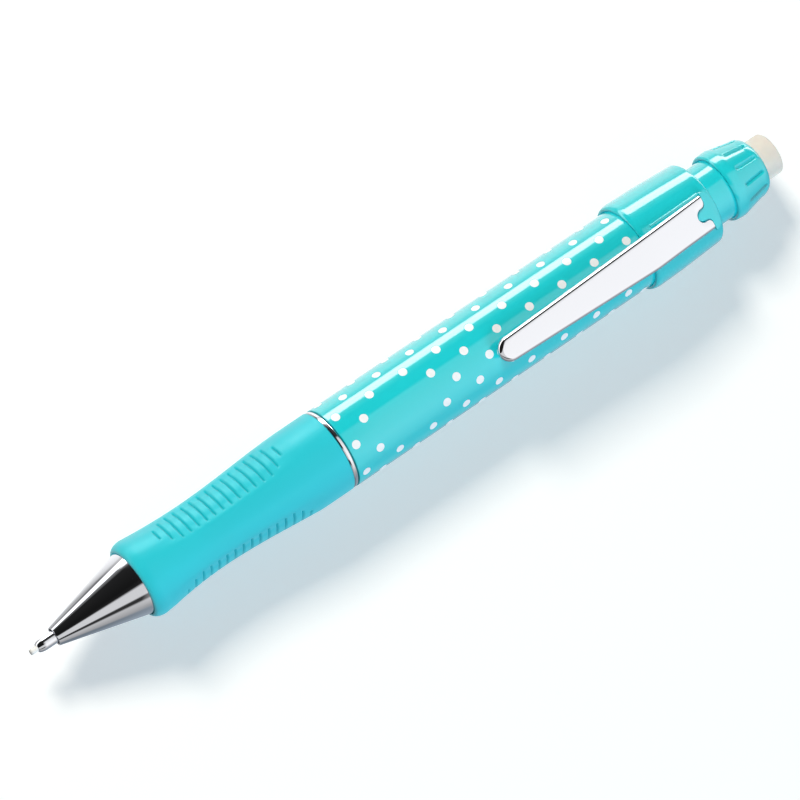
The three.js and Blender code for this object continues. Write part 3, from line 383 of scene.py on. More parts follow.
def soft_touch_rubber():
    """Moulded thermoplastic rubber: matte, with a fine eroded grain that spreads the light."""
    material, tree, where = new_material("soft_touch_rubber")
    # Spark-eroded grain of the mould, 0.15 mm across.
    grain = add(tree, NOISE, {"Vector": where, "Scale": 6500.0, "Detail": 3.0, "Roughness": 0.6})
    # Bloom and handling marks: wide, faint changes, 8 mm across.
    bloom = add(tree, NOISE, {"Vector": where, "Scale": 120.0, "Detail": 3.0})
    tone = add(tree, MIX, {"Factor": bloom, **tones(colours().rubber, 0.95, 1.05)}, data_type="RGBA")
    # Painted shade in the pad grooves: a darker colour and less specular gleam at the bottom of each groove.
    shaded, gleam_with_painted_shade = painted_groove_shade(tree, tone.outputs[2], 0.5)
    return surface(material, {
        "Base Color": shaded, "IOR": 1.5, "Specular IOR Level": gleam_with_painted_shade,
        "Sheen Weight": 0.12, "Sheen Roughness": 0.5,
        "Roughness": add(tree, RANGE, {"Value": bloom, "To Min": 0.36, "To Max": 0.46}),
        "Normal": add(tree, BUMP, {"Height": grain, "Strength": 0.25, "Distance": 0.00003}),
    })


def chrome_plating():
    """Bright chrome over polished brass: a mirror with fine polishing lines round the piece."""
    material, tree, where = new_material("bright_chrome_plating")
    # Polishing lines run round the axis, so the pattern is dense along X only: 0.08 mm apart.
    stretched = add(tree, "ShaderNodeMapping", {"Vector": where, "Scale": (12000.0, 300.0, 300.0)})
    lines = add(tree, NOISE, {"Vector": stretched, "Scale": 1.0, "Detail": 2.0})
    # Pits of the plating, 0.25 mm across, too fine to see one by one.
    pits = add(tree, NOISE, {"Vector": where, "Scale": 4000.0, "Detail": 2.0})
    return surface(material, {
        "Base Color": linear(colours().chrome), "Metallic": 1.0,
        "Roughness": add(tree, RANGE, {"Value": lines, "To Min": 0.02, "To Max": 0.07}),
        "Normal": add(tree, BUMP, {"Height": pits, "Strength": 0.06, "Distance": 0.000008}),
    })


def printed_ink():
    """Pad-printed white ink: a thin opaque film, a little duller than the plastic below it."""
    material, tree, where = new_material("pad_printed_ink")
    # Ink film of uneven thickness, 0.3 mm across.
    film = add(tree, NOISE, {"Vector": where, "Scale": 3300.0, "Detail": 2.0})
    tone = add(tree, MIX, {"Factor": film, **tones(colours().print_ink, 0.93)}, data_type="RGBA")
    return surface(material, {"Base Color": tone.outputs[2], "Roughness": 0.3, "IOR": 1.5})


def marking_lead():
    """Pressed white marking lead: chalky and dull, with a painted grey shade on its end."""
    material, tree, where = new_material("pressed_marking_lead")
    # Grains of filler, 0.1 mm across.
    grain = add(tree, NOISE, {"Vector": where, "Scale": 10000.0, "Detail": 3.0})
    # Painted shade: the end face and the first 0.35 mm behind it are made grey, darkest at the very end.
    painted_end_shade = add(tree, RANGE, {
        "Value": add(tree, SPLIT, [where]), "From Min": LEAD_END, "From Max": LEAD_END + 0.35 * MM,
        "To Min": 0.7, "To Max": 0.0})
    grained_lead = add(tree, MIX, {"Factor": grain, **tones(colours().lead, 0.9)}, data_type="RGBA")
    tone = add(tree, MIX, {"Factor": painted_end_shade, 6: grained_lead.outputs[2], 7: linear("#7d8082")}, data_type="RGBA")
    return surface(material, {
        "Base Color": tone.outputs[2], "Roughness": 0.7, "IOR": 1.45,
        "Normal": add(tree, BUMP, {"Height": grain, "Strength": 0.3, "Distance": 0.00002}),
    })


def eraser_vinyl():
    """Soft vinyl eraser: off-white and dull, faintly mottled, with a crumbly skin."""
    material, tree, where = new_material("soft_eraser_vinyl")
    # Mottling of the filler, 1 mm across, and a crumbly skin, 0.2 mm across.
    mottle = add(tree, NOISE, {"Vector": where, "Scale": 1000.0, "Detail": 4.0})
    skin = add(tree, NOISE, {"Vector": where, "Scale": 5000.0, "Detail": 2.0})
    tone = add(tree, MIX, {"Factor": mottle, **tones(colours().eraser, 0.93, 1.03)}, data_type="RGBA")
    return surface(material, {
        "Base Color": tone.outputs[2], "Roughness": 0.75, "IOR": 1.5,
        "Subsurface Weight": 0.1, "Subsurface Scale": 0.001,
        "Normal": add(tree, BUMP, {"Height": skin, "Strength": 0.25, "Distance": 0.00004}),
    })


def grained(name, code, roughness, metallic, width, ior=1.5):
    """A plain inner finish: one colour with a fine grain of the given width in millimetres."""
    material, tree, where = new_material(name)
    grain = add(tree, NOISE, {"Vector": where, "Scale": 1000.0 / width, "Detail": 2.0})
    dullness = add(tree, RANGE, {
        "Value": grain, "To Min": roughness, "To Max": min(1.0, roughness + 0.12)})
    tone = add(tree, MIX, {"Factor": grain, **tones(code, 0.9)}, data_type="RGBA")
    return surface(material, {
        "Base Color": tone.outputs[2], "Roughness": dullness, "Metallic": metallic,
        "Normal": add(tree, BUMP, {"Height": grain, "Strength": 0.1, "Distance": 0.00001}),
        # A metal keeps the default IOR.
        **({} if metallic else {"IOR": ior}),
    })


def spring_wire():
    """Cold-drawn spring steel: bright grey, with faint drawing marks 0.1 mm wide."""
    return grained("drawn_spring_wire", "#b9bcc2", 0.25, 1.0, 0.1)


# The record's material slot of each finish, and what makes it.
LOOKS = {
    "gloss": ("turquoise_plastic", moulded_gloss_plastic),
    "rubber": ("grip_rubber", soft_touch_rubber),
    "chrome": ("chrome_plate", chrome_plating),
    "ink": ("chalk_lead", printed_ink),
    "lead": ("chalk_lead", marking_lead),
    "eraser": ("eraser_rubber", eraser_vinyl),
    "spring": ("spring_steel", spring_wire),
}
MADE = {}


def finish(look):
    """The shared material of a finish, made when it is first asked for."""
    if look not in MADE:
        MADE[look] = LOOKS[look][1]()
    return MADE[look]


# --- pieces ---


class PENCIL_OT_tip(bpy.types.Operator):
    """Makes the lead, the tip sleeve, the nose cone and the trim ring."""

    bl_idname = "fabric_pencil.tip"
    bl_label = "Tip, cone and trim ring"

    def execute(self, context):
        start, end = span("lead")
        turned("marking_lead", [
            (start, 0), (start, 0.37), (start + 0.05, 0.42), (start + 0.12, 0.45), (end, 0.45), (end, 0),
        ], "lead", "lead", "lead", radius=0.03)

        start, end = span("tip_sleeve")
        foot = end - 3.65
        turned("drawn_tip_sleeve", [
            *arc(start + 1.5, 0.57, 1.5, 0.43, 180, 90, 10),
            (foot, 1.0), (foot, 1.5), (end, 1.5), (end, 1.1), (end - 2.8, 1.1), (end - 2.8, 0.5),
            (start, 0.5),
        ], "pencil_body", "chrome", "tip_sleeve", radius=0.03)

        start, end = span("nose_cone")
        turned("chrome_nose_cone", [
            (start, 1.5), (start + 14, 5.15), (start + 14.8, 5.15), (start + 14.8, 4.2), (end, 4.2),
            (end, 2.5), (start + 8.9, 2.5), (start + 8.9, 1.95), (start + 5.5, 1.95), (start + 5.5, 1.6),
            (start + 1.65, 1.6), (start + 1.65, 1.3), (start, 1.3),
        ], "pencil_body", "chrome", "nose_cone", radius=0.08)

        start, end = span("trim_ring")
        turned("chrome_trim_ring", [
            (start, 5.6), (start, 6.43), (start + 0.2, 6.53), (end - 0.2, 6.53), (end, 6.43), (end, 5.6),
        ], "pencil_body", "chrome", "trim_ring", radius=0.1)
        return {"FINISHED"}


def grip_radius(x):
    """Radius of the grip at a distance behind its front, before the pads are scooped."""
    front_radius, rear_radius, front_drop, flare = 6.25, 6.6, 0.9, 20.1
    if x < GRIP_NOSE:
        along = 1 - x / GRIP_NOSE
        return front_radius - front_drop * (1 - math.sqrt(1 - along * along))
    if x < GRIP_WAIST:
        left = (GRIP_WAIST - x) / (GRIP_WAIST - GRIP_NOSE)
        return WAIST_RADIUS + (front_radius - WAIST_RADIUS) * left * left
    share = min(1.0, (x - GRIP_WAIST) / flare)
    return WAIST_RADIUS + (rear_radius - WAIST_RADIUS) * (1 - math.cos(math.pi * share)) / 2


def pad_depth(x, angle):
    """Depth of the three finger scoops. Each has an almost flat floor and a clear edge."""
    pad_start, pad_length, depth = 3.6, 26.2, 0.38
    flat_half, edge_half = math.radians(18), math.radians(37)
    along = (x - pad_start) / pad_length
    if not 0 < along < 1:
        return 0.0
    nearest = math.remainder(angle - math.pi / 3, math.tau / 3)
    across = 1 - blend_share(abs(nearest), flat_half, edge_half)
    return depth * math.sin(math.pi * along) ** 0.8 * across


def polar_nodes(tree):
    """Sockets for the station, the angle from the clip side, the radius and the outward direction."""
    parts = add(tree, SPLIT, [add(tree, "GeometryNodeInputPosition")]).outputs
    height = add(tree, "SUBTRACT", [parts["Z"], AXIS_HEIGHT])
    side = add(tree, "MULTIPLY", [parts["Y"], -1.0])
    angle = add(tree, "ARCTAN2", [side, height])
    spoke = add(tree, JOIN, [0.0, parts["Y"], height])
    radius = add(tree, VECTOR_MATH, [spoke], operation="LENGTH").outputs["Value"]
    return parts["X"], angle, radius, add(tree, VECTOR_MATH, [spoke], operation="NORMALIZE")


def run_tree(name, build, values, base=None):
    """Runs a Geometry Nodes tree on a base mesh and returns the plain mesh.

    The tree has a named input for each value. build adds its own nodes and gives their geometry,
    and the tree ends in Realize Instances and Set Material.
    """
    tree = bpy.data.node_groups.new(name, "GeometryNodeTree")
    kinds = {float: "NodeSocketFloat", int: "NodeSocketInt", bpy.types.Material: "NodeSocketMaterial"}
    for way in ("INPUT", "OUTPUT"):
        tree.interface.new_socket("Geometry", in_out=way, socket_type="NodeSocketGeometry")
    for label, value in values.items():
        tree.interface.new_socket(label, in_out="INPUT", socket_type=kinds[type(value)])
    inputs = add(tree, "NodeGroupInput").outputs
    real = add(tree, "GeometryNodeRealizeInstances", [build(tree, inputs)])
    dressed = add(tree, "GeometryNodeSetMaterial", {"Geometry": real, "Material": inputs["Material"]})
    add(tree, "NodeGroupOutput", [dressed])

    holder = new_object(name + "_holder", base or bpy.data.meshes.new(name + "_seed"))
    modifier = holder.modifiers.new(name, "NODES")
    modifier.node_group = tree
    for item in tree.interface.items_tree:
        if item.in_out == "INPUT" and item.name in values:
            modifier[item.identifier] = values[item.name]
    bpy.context.view_layer.update()
    graph = bpy.context.evaluated_depsgraph_get()
    mesh = bpy.data.meshes.new_from_object(holder.evaluated_get(graph))
    bpy.data.objects.remove(holder)
    return mesh


def press_in(tree, inputs, outward, across, there):
    """Presses grooves into the skin that faces outward, and leaves the bore alone.

    across is how far a point is from the middle of its groove, and there is 1 where the groove runs.
    """
    full = inputs["Groove Depth"]
    half = add(tree, "MULTIPLY", [inputs["Groove Width"], 0.5])
    shape = add(tree, RANGE, {
        "Value": across, "From Min": 0.0, "From Max": half, "To Min": 1.0, "To Max": 0.0,
    }, interpolation_type="SMOOTHSTEP")
    masked = add(tree, "MULTIPLY", [shape, there])
    depth = add(tree, "MULTIPLY", [masked, full])
    normal = add(tree, "GeometryNodeInputNormal")
    facing = add(tree, VECTOR_MATH, [normal, outward], operation="DOT_PRODUCT").outputs["Value"]
    outer = add(tree, "GREATER_THAN", [facing, 0.05])
    inward = add(tree, "MULTIPLY", [depth, outer])
    back = add(tree, "MULTIPLY", [inward, -1.0])
    shift = add(tree, VECTOR_MATH, {0: outward, "Scale": back}, operation="SCALE")
    # The finishes read this attribute to paint shade into the grooves, 0 on the plain skin and 1 at the
    # bottom of a groove.
    marked = add(tree, "GeometryNodeStoreNamedAttribute", {
        "Geometry": inputs["Geometry"], "Name": "groove",
        "Value": add(tree, "DIVIDE", [inward, full]),
    }, data_type="FLOAT", domain="POINT")
    return add(tree, "GeometryNodeSetPosition", {"Geometry": marked, "Offset": shift})


def pad_grooves(tree, inputs):
    """Nodes that press a ladder of cross grooves into each finger pad."""
    x, angle, _, outward = polar_nodes(tree)
    pitch = inputs["Groove Pitch"]
    turn = add(tree, "SUBTRACT", [angle, math.pi / 3])
    nearest = add(tree, "WRAP", [turn, math.pi / 3, -math.pi / 3])
    off_centre = add(tree, "ABSOLUTE", [nearest])
    run = add(tree, "SUBTRACT", [x, inputs["First Groove"]])
    steps = add(tree, "DIVIDE", [run, pitch])
    rounded = add(tree, "ROUND", [steps])
    last = add(tree, "SUBTRACT", [inputs["Groove Count"], 1.0])
    number = add(tree, "ShaderNodeClamp", [rounded, 0.0, last])
    middle = add(tree, "MULTIPLY", [number, pitch])
    gap = add(tree, "SUBTRACT", [run, middle])
    across = add(tree, "ABSOLUTE", [gap])
    # The first and last grooves are shorter: 0.42 of the full span, then 0.8, then all of it.
    from_rear = add(tree, "SUBTRACT", [last, number])
    from_end = add(tree, "MINIMUM", [number, from_rear])
    grown = add(tree, "MULTIPLY_ADD", [from_end, 0.38, 0.42])
    share = add(tree, "MINIMUM", [grown, 1.0])
    reach = add(tree, "MULTIPLY", [share, inputs["Half Angle"]])
    soft = add(tree, "SUBTRACT", [reach, 0.06])
    there = add(tree, RANGE, {
        "Value": off_centre, "From Min": soft, "From Max": reach, "To Min": 1.0, "To Max": 0.0,
    }, interpolation_type="SMOOTHSTEP")
    return press_in(tree, inputs, outward, across, there)


class PENCIL_OT_grip(bpy.types.Operator):
    """Makes the soft rubber grip with its three scooped and grooved pads."""

    bl_idname = "fabric_pencil.grip"
    bl_label = "Rubber grip"

    def execute(self, context):
        front, rear = span("rubber_grip")
        full_length = rear - front
        first, pitch, count = 5.85, 1.463, 16
        # Rings lie close where the front is round and where a groove is pressed.
        cuts = {GRIP_NOSE * (1 - math.cos(math.pi / 2 * i / 10)) for i in range(10)}
        cuts |= {GRIP_NOSE + (first - 2.2) * i / 8 for i in range(9)}
        for i in range(count):
            cuts |= {first + pitch * (i + share / 12) for share in range(-6, 6)}
        tail = first + pitch * (count - 0.5)
        cuts |= {tail + (full_length - tail) * i / 12 for i in range(13)}
        angles = around(2 * sizes().sides)
        points = [
            place(front + x, grip_radius(x) - pad_depth(x, angle), angle)
            for x in sorted(cuts) for angle in angles
        ]
        bore = [(rear, 4.75), (front + 0.85, 4.75), (front + 0.85, 5.27), (front, 5.27)]
        points += turned_points(bore, len(angles))
        faces = ring_faces(len(cuts) + len(bore), len(angles), True)
        mesh = run_tree("pad_grooves", pad_grooves, {
            "Groove Width": sizes().groove_width, "Groove Depth": sizes().groove_depth,
            "Groove Pitch": pitch * MM, "Groove Count": count,
            "First Groove": LEAD_END + (front + first) * MM, "Half Angle": math.radians(29.5),
            "Material": finish("rubber"),
        }, new_mesh("grip_smooth", points, faces))
        finish_mesh("soft_rubber_grip", mesh, "pencil_body", "rubber", "rubber_grip", sharp=60)
        return {"FINISHED"}


class PENCIL_OT_barrel(bpy.types.Operator):
    """Makes the plain gloss barrel."""

    bl_idname = "fabric_pencil.barrel"
    bl_label = "Barrel"

    def execute(self, context):
        start, end = span("barrel")
        radius = sizes().barrel_radius / MM
        turned("gloss_barrel", [(start, 5.6), (start, radius), (end, radius), (end, 5.6)],
               "pencil_body", "gloss", "barrel")
        return {"FINISHED"}


def printed_dots(tree, inputs):
    """Nodes that print a staggered grid of dots round a cylinder, with one bare panel."""
    rows, radius = inputs["Rows"], inputs["Barrel Radius"]
    total = add(tree, "MULTIPLY", [rows, inputs["Columns"]])
    index = add(tree, "GeometryNodeInputIndex")
    row = add(tree, "MODULO", [index, rows])
    column = add(tree, "FLOOR", [add(tree, "DIVIDE", [index, rows])])
    odd = add(tree, "MODULO", [row, 2.0])
    offset = add(tree, "MULTIPLY_ADD", [odd, inputs["Stagger"], inputs["Start"]])
    x = add(tree, "MULTIPLY_ADD", [column, inputs["Pitch"], offset])
    turn = add(tree, "DIVIDE", [math.tau, rows])
    angle = add(tree, "MULTIPLY_ADD", [row, turn, inputs["First Angle"]])
    wound = add(tree, "WRAP", [angle, math.pi, -math.pi])
    flat = add(tree, JOIN, [x, add(tree, "MULTIPLY", [wound, radius])])
    points = add(tree, "GeometryNodePoints", {"Count": total, "Position": flat})
    # One panel on the side towards the viewer stays bare: 10 mm along, three rows round.
    middle = (LEAD_END + 65.4 * MM, -0.08 * sizes().barrel_radius, 0.0)
    shrink = (1 / (5.2 * MM), 1 / (0.46 * sizes().barrel_radius), 0.0)
    spot = add(tree, "GeometryNodeInputPosition")
    away = add(tree, VECTOR_MATH, [spot, middle], operation="SUBTRACT")
    scaled = add(tree, VECTOR_MATH, [away, shrink], operation="MULTIPLY")
    size = add(tree, SPLIT, [add(tree, VECTOR_MATH, [scaled], operation="ABSOLUTE")]).outputs
    furthest = add(tree, "MAXIMUM", [size["X"], size["Y"]])
    bare = add(tree, "LESS_THAN", [furthest, 1.0])
    kept = add(tree, "GeometryNodeDeleteGeometry", {
        "Geometry": points, "Selection": bare}, domain="POINT")
    disc = add(tree, "GeometryNodeMeshCylinder", {
        "Vertices": 28, "Side Segments": 1, "Fill Segments": 3,
        "Radius": inputs["Dot Radius"], "Depth": inputs["Film"]}, fill_type="TRIANGLE_FAN")
    printed = add(tree, "GeometryNodeInstanceOnPoints", {"Points": kept, "Instance": disc})
    sheet = add(tree, "GeometryNodeRealizeInstances", [printed])
    # The flat sheet of dots is wound round the barrel.
    flat_place = add(tree, SPLIT, [add(tree, "GeometryNodeInputPosition")]).outputs
    winding = add(tree, "DIVIDE", [flat_place["Y"], radius])
    reach = add(tree, "ADD", [flat_place["Z"], radius])
    sine = add(tree, "SINE", [winding])
    cosine = add(tree, "COSINE", [winding])
    side = add(tree, "MULTIPLY", [sine, reach])
    side_out = add(tree, "MULTIPLY", [side, -1.0])
    up = add(tree, "MULTIPLY_ADD", [cosine, reach, AXIS_HEIGHT])
    wrapped = add(tree, JOIN, [flat_place["X"], side_out, up])
    return add(tree, "GeometryNodeSetPosition", {"Geometry": sheet, "Position": wrapped})


class PENCIL_OT_dots(bpy.types.Operator):
    """Prints the white dots on the barrel."""

    bl_idname = "fabric_pencil.dots"
    bl_label = "Printed dots"

    def execute(self, context):
        mesh = run_tree("printed_dots", printed_dots, {
            "Rows": sizes().dot_rows, "Columns": 9, "Pitch": sizes().dot_pitch,
            "Stagger": 3.19 * MM, "Start": LEAD_END + 56.1 * MM, "First Angle": math.radians(-4),
            "Dot Radius": sizes().dot_diameter / 2, "Film": 0.03 * MM,
            "Barrel Radius": sizes().barrel_radius, "Material": finish("ink"),
        })
        mesh.name = "printed_dots"
        tie(new_object("printed_dots", mesh), "pencil_body", "ink")
        return {"FINISHED"}


def lofted_outline(outline, levels):
    """Points and faces of a closed solid over a plan outline, from (height, inset) levels in millimetres.

    The outline is a list of (station, sideways) points and is convex enough to be shrunk towards its middle.
    """
    middle_x = sum(p[0] for p in outline) / len(outline)
    half_x = max(abs(p[0] - middle_x) for p in outline)
    half_y = max(abs(p[1]) for p in outline)
    points = [
        at(middle_x + (x - middle_x) * (1 - inset / half_x), y * (1 - inset / half_y), height)
        for height, inset in levels for x, y in outline
    ]
    count = len(outline)
    faces = ring_faces(len(levels), count, False)
    faces.append(range(count))
    faces.append([(len(levels) - 1) * count + j for j in reversed(range(count))])
    return points, faces


class PENCIL_OT_collar(bpy.types.Operator):
    """Makes the clip collar with its seat, and the block with its lug behind the clip."""

    bl_idname = "fabric_pencil.collar"
    bl_label = "Clip collar"

    def execute(self, context):
        start, end = span("clip_collar")
        turned("gloss_clip_collar", [
            *arc(start + 1.3, 6.96, 1.3, 0.48, 180, 90, 12),
            (start + 5.5, 7.35), (end - 0.6, 6.96), *arc(end - 0.55, 6.4, 0.55, 0.55, 80, 0, 6),
            (end, 5.13), (end - 3.3, 5.13), (end - 3.3, 6.7), (start, 6.7),
        ], "pencil_body", "gloss", "clip_collar")
        rear, half, corner = end - 0.8, 3.2, 1.2

        def plan(first):
            """A straight front edge, two sides and a rear edge with round corners."""
            corners = arc(rear - corner, corner - half, corner, corner, -90, 0, 8)
            corners += arc(rear - corner, half - corner, corner, corner, 0, 90, 8)
            return [(first, -half), *corners, (first, half)]

        seat = [(5.3, 0), (CLIP_SEAT - 0.15, 0), (CLIP_SEAT - 0.04, 0.04), (CLIP_SEAT, 0.15)]
        finish_piece("clip_seat", *lofted_outline(plan(start + 2.2), seat), "pencil_body", "gloss")
        # The block's front edge runs on round the lug that fills the notch of the clip.
        clip_end, play = span("clip")[1], 0.16
        side = [(clip_end + play - run, notch_half_width(run) - play) for run in notch_stops()]
        side = [(x, y) for x, y in side if y > 0.1]
        nose = (clip_end - NOTCH_REACH - NOTCH_HALF + play, 0.0)
        outline = plan(clip_end + play) + side + [nose] + [(x, -y) for x, y in reversed(side)]
        top = CLIP_SEAT + CLIP_SHEET
        block = [(5.5, 0), (top - 0.12, 0), (top - 0.03, 0.03), (top, 0.1)]
        finish_piece("clip_block", *lofted_outline(outline, block), "pencil_body", "gloss")
        return {"FINISHED"}


def clip_half_width(distance):
    """Half width of the clip at a distance ahead of its rear edge."""
    narrowing = 0.9
    taper = min(1.0, max(0.0, distance - CLIP_BEND) / (CLIP_ROUND - CLIP_BEND))
    into = max(0.0, (distance - CLIP_ROUND) / (CLIP_LENGTH - CLIP_ROUND))
    return (CLIP_HALF_WIDTH - narrowing * taper) * math.sqrt(max(0.0, 1 - into * into))


def notch_half_width(distance):
    """Half width of the notch between the clip's prongs at a distance ahead of its rear edge."""
    if distance < PRONG_CORNER:
        drop = PRONG_CORNER - distance
        return NOTCH_HALF + PRONG_CORNER - math.sqrt(PRONG_CORNER ** 2 - drop ** 2)
    into = max(0.0, distance - NOTCH_REACH)
    return math.sqrt(max(0.0, NOTCH_HALF ** 2 - into ** 2))


def notch_stops():
    """Distances ahead of the clip's rear edge at which the notch is drawn."""
    corner = [PRONG_CORNER * (1 - math.cos(math.radians(90 * i / 6))) for i in range(7)]
    return corner + [NOTCH_REACH + NOTCH_HALF * math.sin(math.radians(90 * i / 8)) for i in range(9)]


def clip_top(distance):
    """Height of the clip's upper face above the axis: it climbs to the bend and then runs level."""
    climb, softness = 1.5, 18
    soft = 1.0 - math.log(1 + math.exp((1 - distance / CLIP_BEND) * softness)) / softness
    return CLIP_SEAT + CLIP_GAP + CLIP_SHEET + climb * max(0.0, min(1.0, soft))


def clip_skirt(distance):
    """Height of the clip's folded side, which grows from its rear to the bend."""
    rear_height, growth = 0.62, 0.28
    return rear_height + growth * min(1.0, distance / CLIP_BEND)


class PENCIL_OT_clip(bpy.types.Operator):
    """Makes the folded sheet clip with its slotted rear and its hooked lips."""

    bl_idname = "fabric_pencil.clip"
    bl_label = "Clip"

    def execute(self, context):
        rear = span("clip")[1]
        clip = new_object("sheet_clip", self.sheet(rear))
        wall = clip.modifiers.new("sheet_thickness", "SOLIDIFY")
        wall.thickness = CLIP_SHEET * MM
        wall.offset = -1
        rim = clip.modifiers.new("rim", "BEVEL")
        rim.width = 0.06 * MM
        rim.segments = 2
        rim.limit_method = "ANGLE"
        rim.angle_limit = math.radians(50)
        clip.modifiers.new("even_shading", "WEIGHTED_NORMAL")
        tie(clip, "clip", "chrome", "clip")
        self.hooks(rear)
        return {"FINISHED"}

    def outline(self):
        """One side of the clip, from the rear edge round to the tip, and its inward directions."""
        stops = notch_stops()
        stops += [2.6, 3.6, 5.0, 7.0, 9.0, 10.3, 10.9, 11.3, 11.7, 12.1, 12.5, 13.2]
        stops += [15 + (CLIP_ROUND - 15) * i / 14 for i in range(15)]
        tip = CLIP_LENGTH - CLIP_ROUND
        stops += [CLIP_ROUND + tip * math.sin(math.radians(90 * i / 18)) for i in range(1, 18)]
        outline = [(distance, clip_half_width(distance)) for distance in stops] + [(CLIP_LENGTH, 0.0)]
        inward = [Vector((0.0, -1.0))]
        for before, after in zip(outline, outline[2:]):
            along = (Vector(after) - Vector(before)).normalized()
            inward.append(Vector((along.y, -along.x)))
        return outline, inward + [Vector((-1.0, 0.0))]

    def sheet(self, rear):
        """The outer face of the clip, whose sides fold down. Solidify gives it its thickness."""
        points, faces = [], []
        stations = list(zip(*self.outline()))
        for sign in (-1, 1):
            rows = []
            for (distance, half), inward in stations:
                # From the skirt's low edge over the fold to the plate's middle or the notch.
                skirt, least_flat = clip_skirt(distance), 0.04
                fold = min(CLIP_FOLD, skirt - least_flat)
                path = [(distance, half, skirt)]
                for step in range(FOLD_STEPS + 1):
                    angle = math.radians(90 * step / FOLD_STEPS)
                    inset = inward * fold * (1 - math.cos(angle))
                    path.append((distance + inset.x, half + inset.y, fold * (1 - math.sin(angle))))
                path.append((path[-1][0], notch_half_width(path[-1][0]), 0.0))
                rows.append(range(len(points), len(points) + len(path)))
                points += [at(rear - x, sign * max(0.0, y), clip_top(x) - drop) for x, y, drop in path]
            for near, far in zip(rows, rows[1:]):
                faces += [(near[k], near[k + 1], far[k + 1], far[k]) for k in range(len(near) - 1)]
        mesh = new_mesh("sheet_clip", points, faces)
        clean(mesh, "chrome", open_sheet=True)
        return mesh

    def hooks(self, rear):
        """The two lips that hook into the collar, and the pip under the free end."""
        for name, sign in (("clip_lip_right", -1), ("clip_lip_left", 1)):
            points = [
                at(rear - back, sign * y, z) for z in (CLIP_SEAT - 0.85, CLIP_SEAT + 0.4)
                for back, y in ((0.62, 1.4), (0.17, 1.4), (0.17, 2.4), (0.62, 2.4))
            ]
            faces = ring_faces(2, 4, False) + [(0, 1, 2, 3), (7, 6, 5, 4)]
            finish_piece(name, points, faces, "clip", "chrome")
        tip_distance, sides = 36.0, 24
        centre = rear - tip_distance
        levels = [(6.9, 0.0), (6.93, 0.35), (7.05, 0.6), (7.3, 0.8), (8.9, 0.8), (8.9, 0.0)]
        points = [
            at(centre + radius * math.cos(angle), radius * math.sin(angle), height)
            for height, radius in levels for angle in around(sides)
        ]
        finish_piece("clip_pip", points, ring_faces(len(levels), sides, False), "clip", "chrome")


def knob_flutes(tree, inputs):
    """Nodes that press a ring of grooves, which run along the axis, into the knob."""
    x, angle, radius, outward = polar_nodes(tree)
    start, end, run_out = inputs["Start"], inputs["End"], inputs["Run Out"]
    half_step = add(tree, "DIVIDE", [math.pi, inputs["Groove Count"]])
    low = add(tree, "MULTIPLY", [half_step, -1.0])
    turned_back = add(tree, "SUBTRACT", [angle, inputs["Turn"]])
    nearest = add(tree, "WRAP", [turned_back, half_step, low])
    off_centre = add(tree, "ABSOLUTE", [nearest])
    across = add(tree, "MULTIPLY", [off_centre, radius])
    rises = add(tree, RANGE, {
        "Value": x, "From Min": start, "From Max": add(tree, "ADD", [start, run_out]),
    }, interpolation_type="SMOOTHSTEP")
    falls = add(tree, RANGE, {
        "Value": x, "From Min": add(tree, "SUBTRACT", [end, run_out]), "From Max": end,
        "To Min": 1.0, "To Max": 0.0,
    }, interpolation_type="SMOOTHSTEP")
    there = add(tree, "MULTIPLY", [rises, falls])
    return press_in(tree, inputs, outward, across, there)


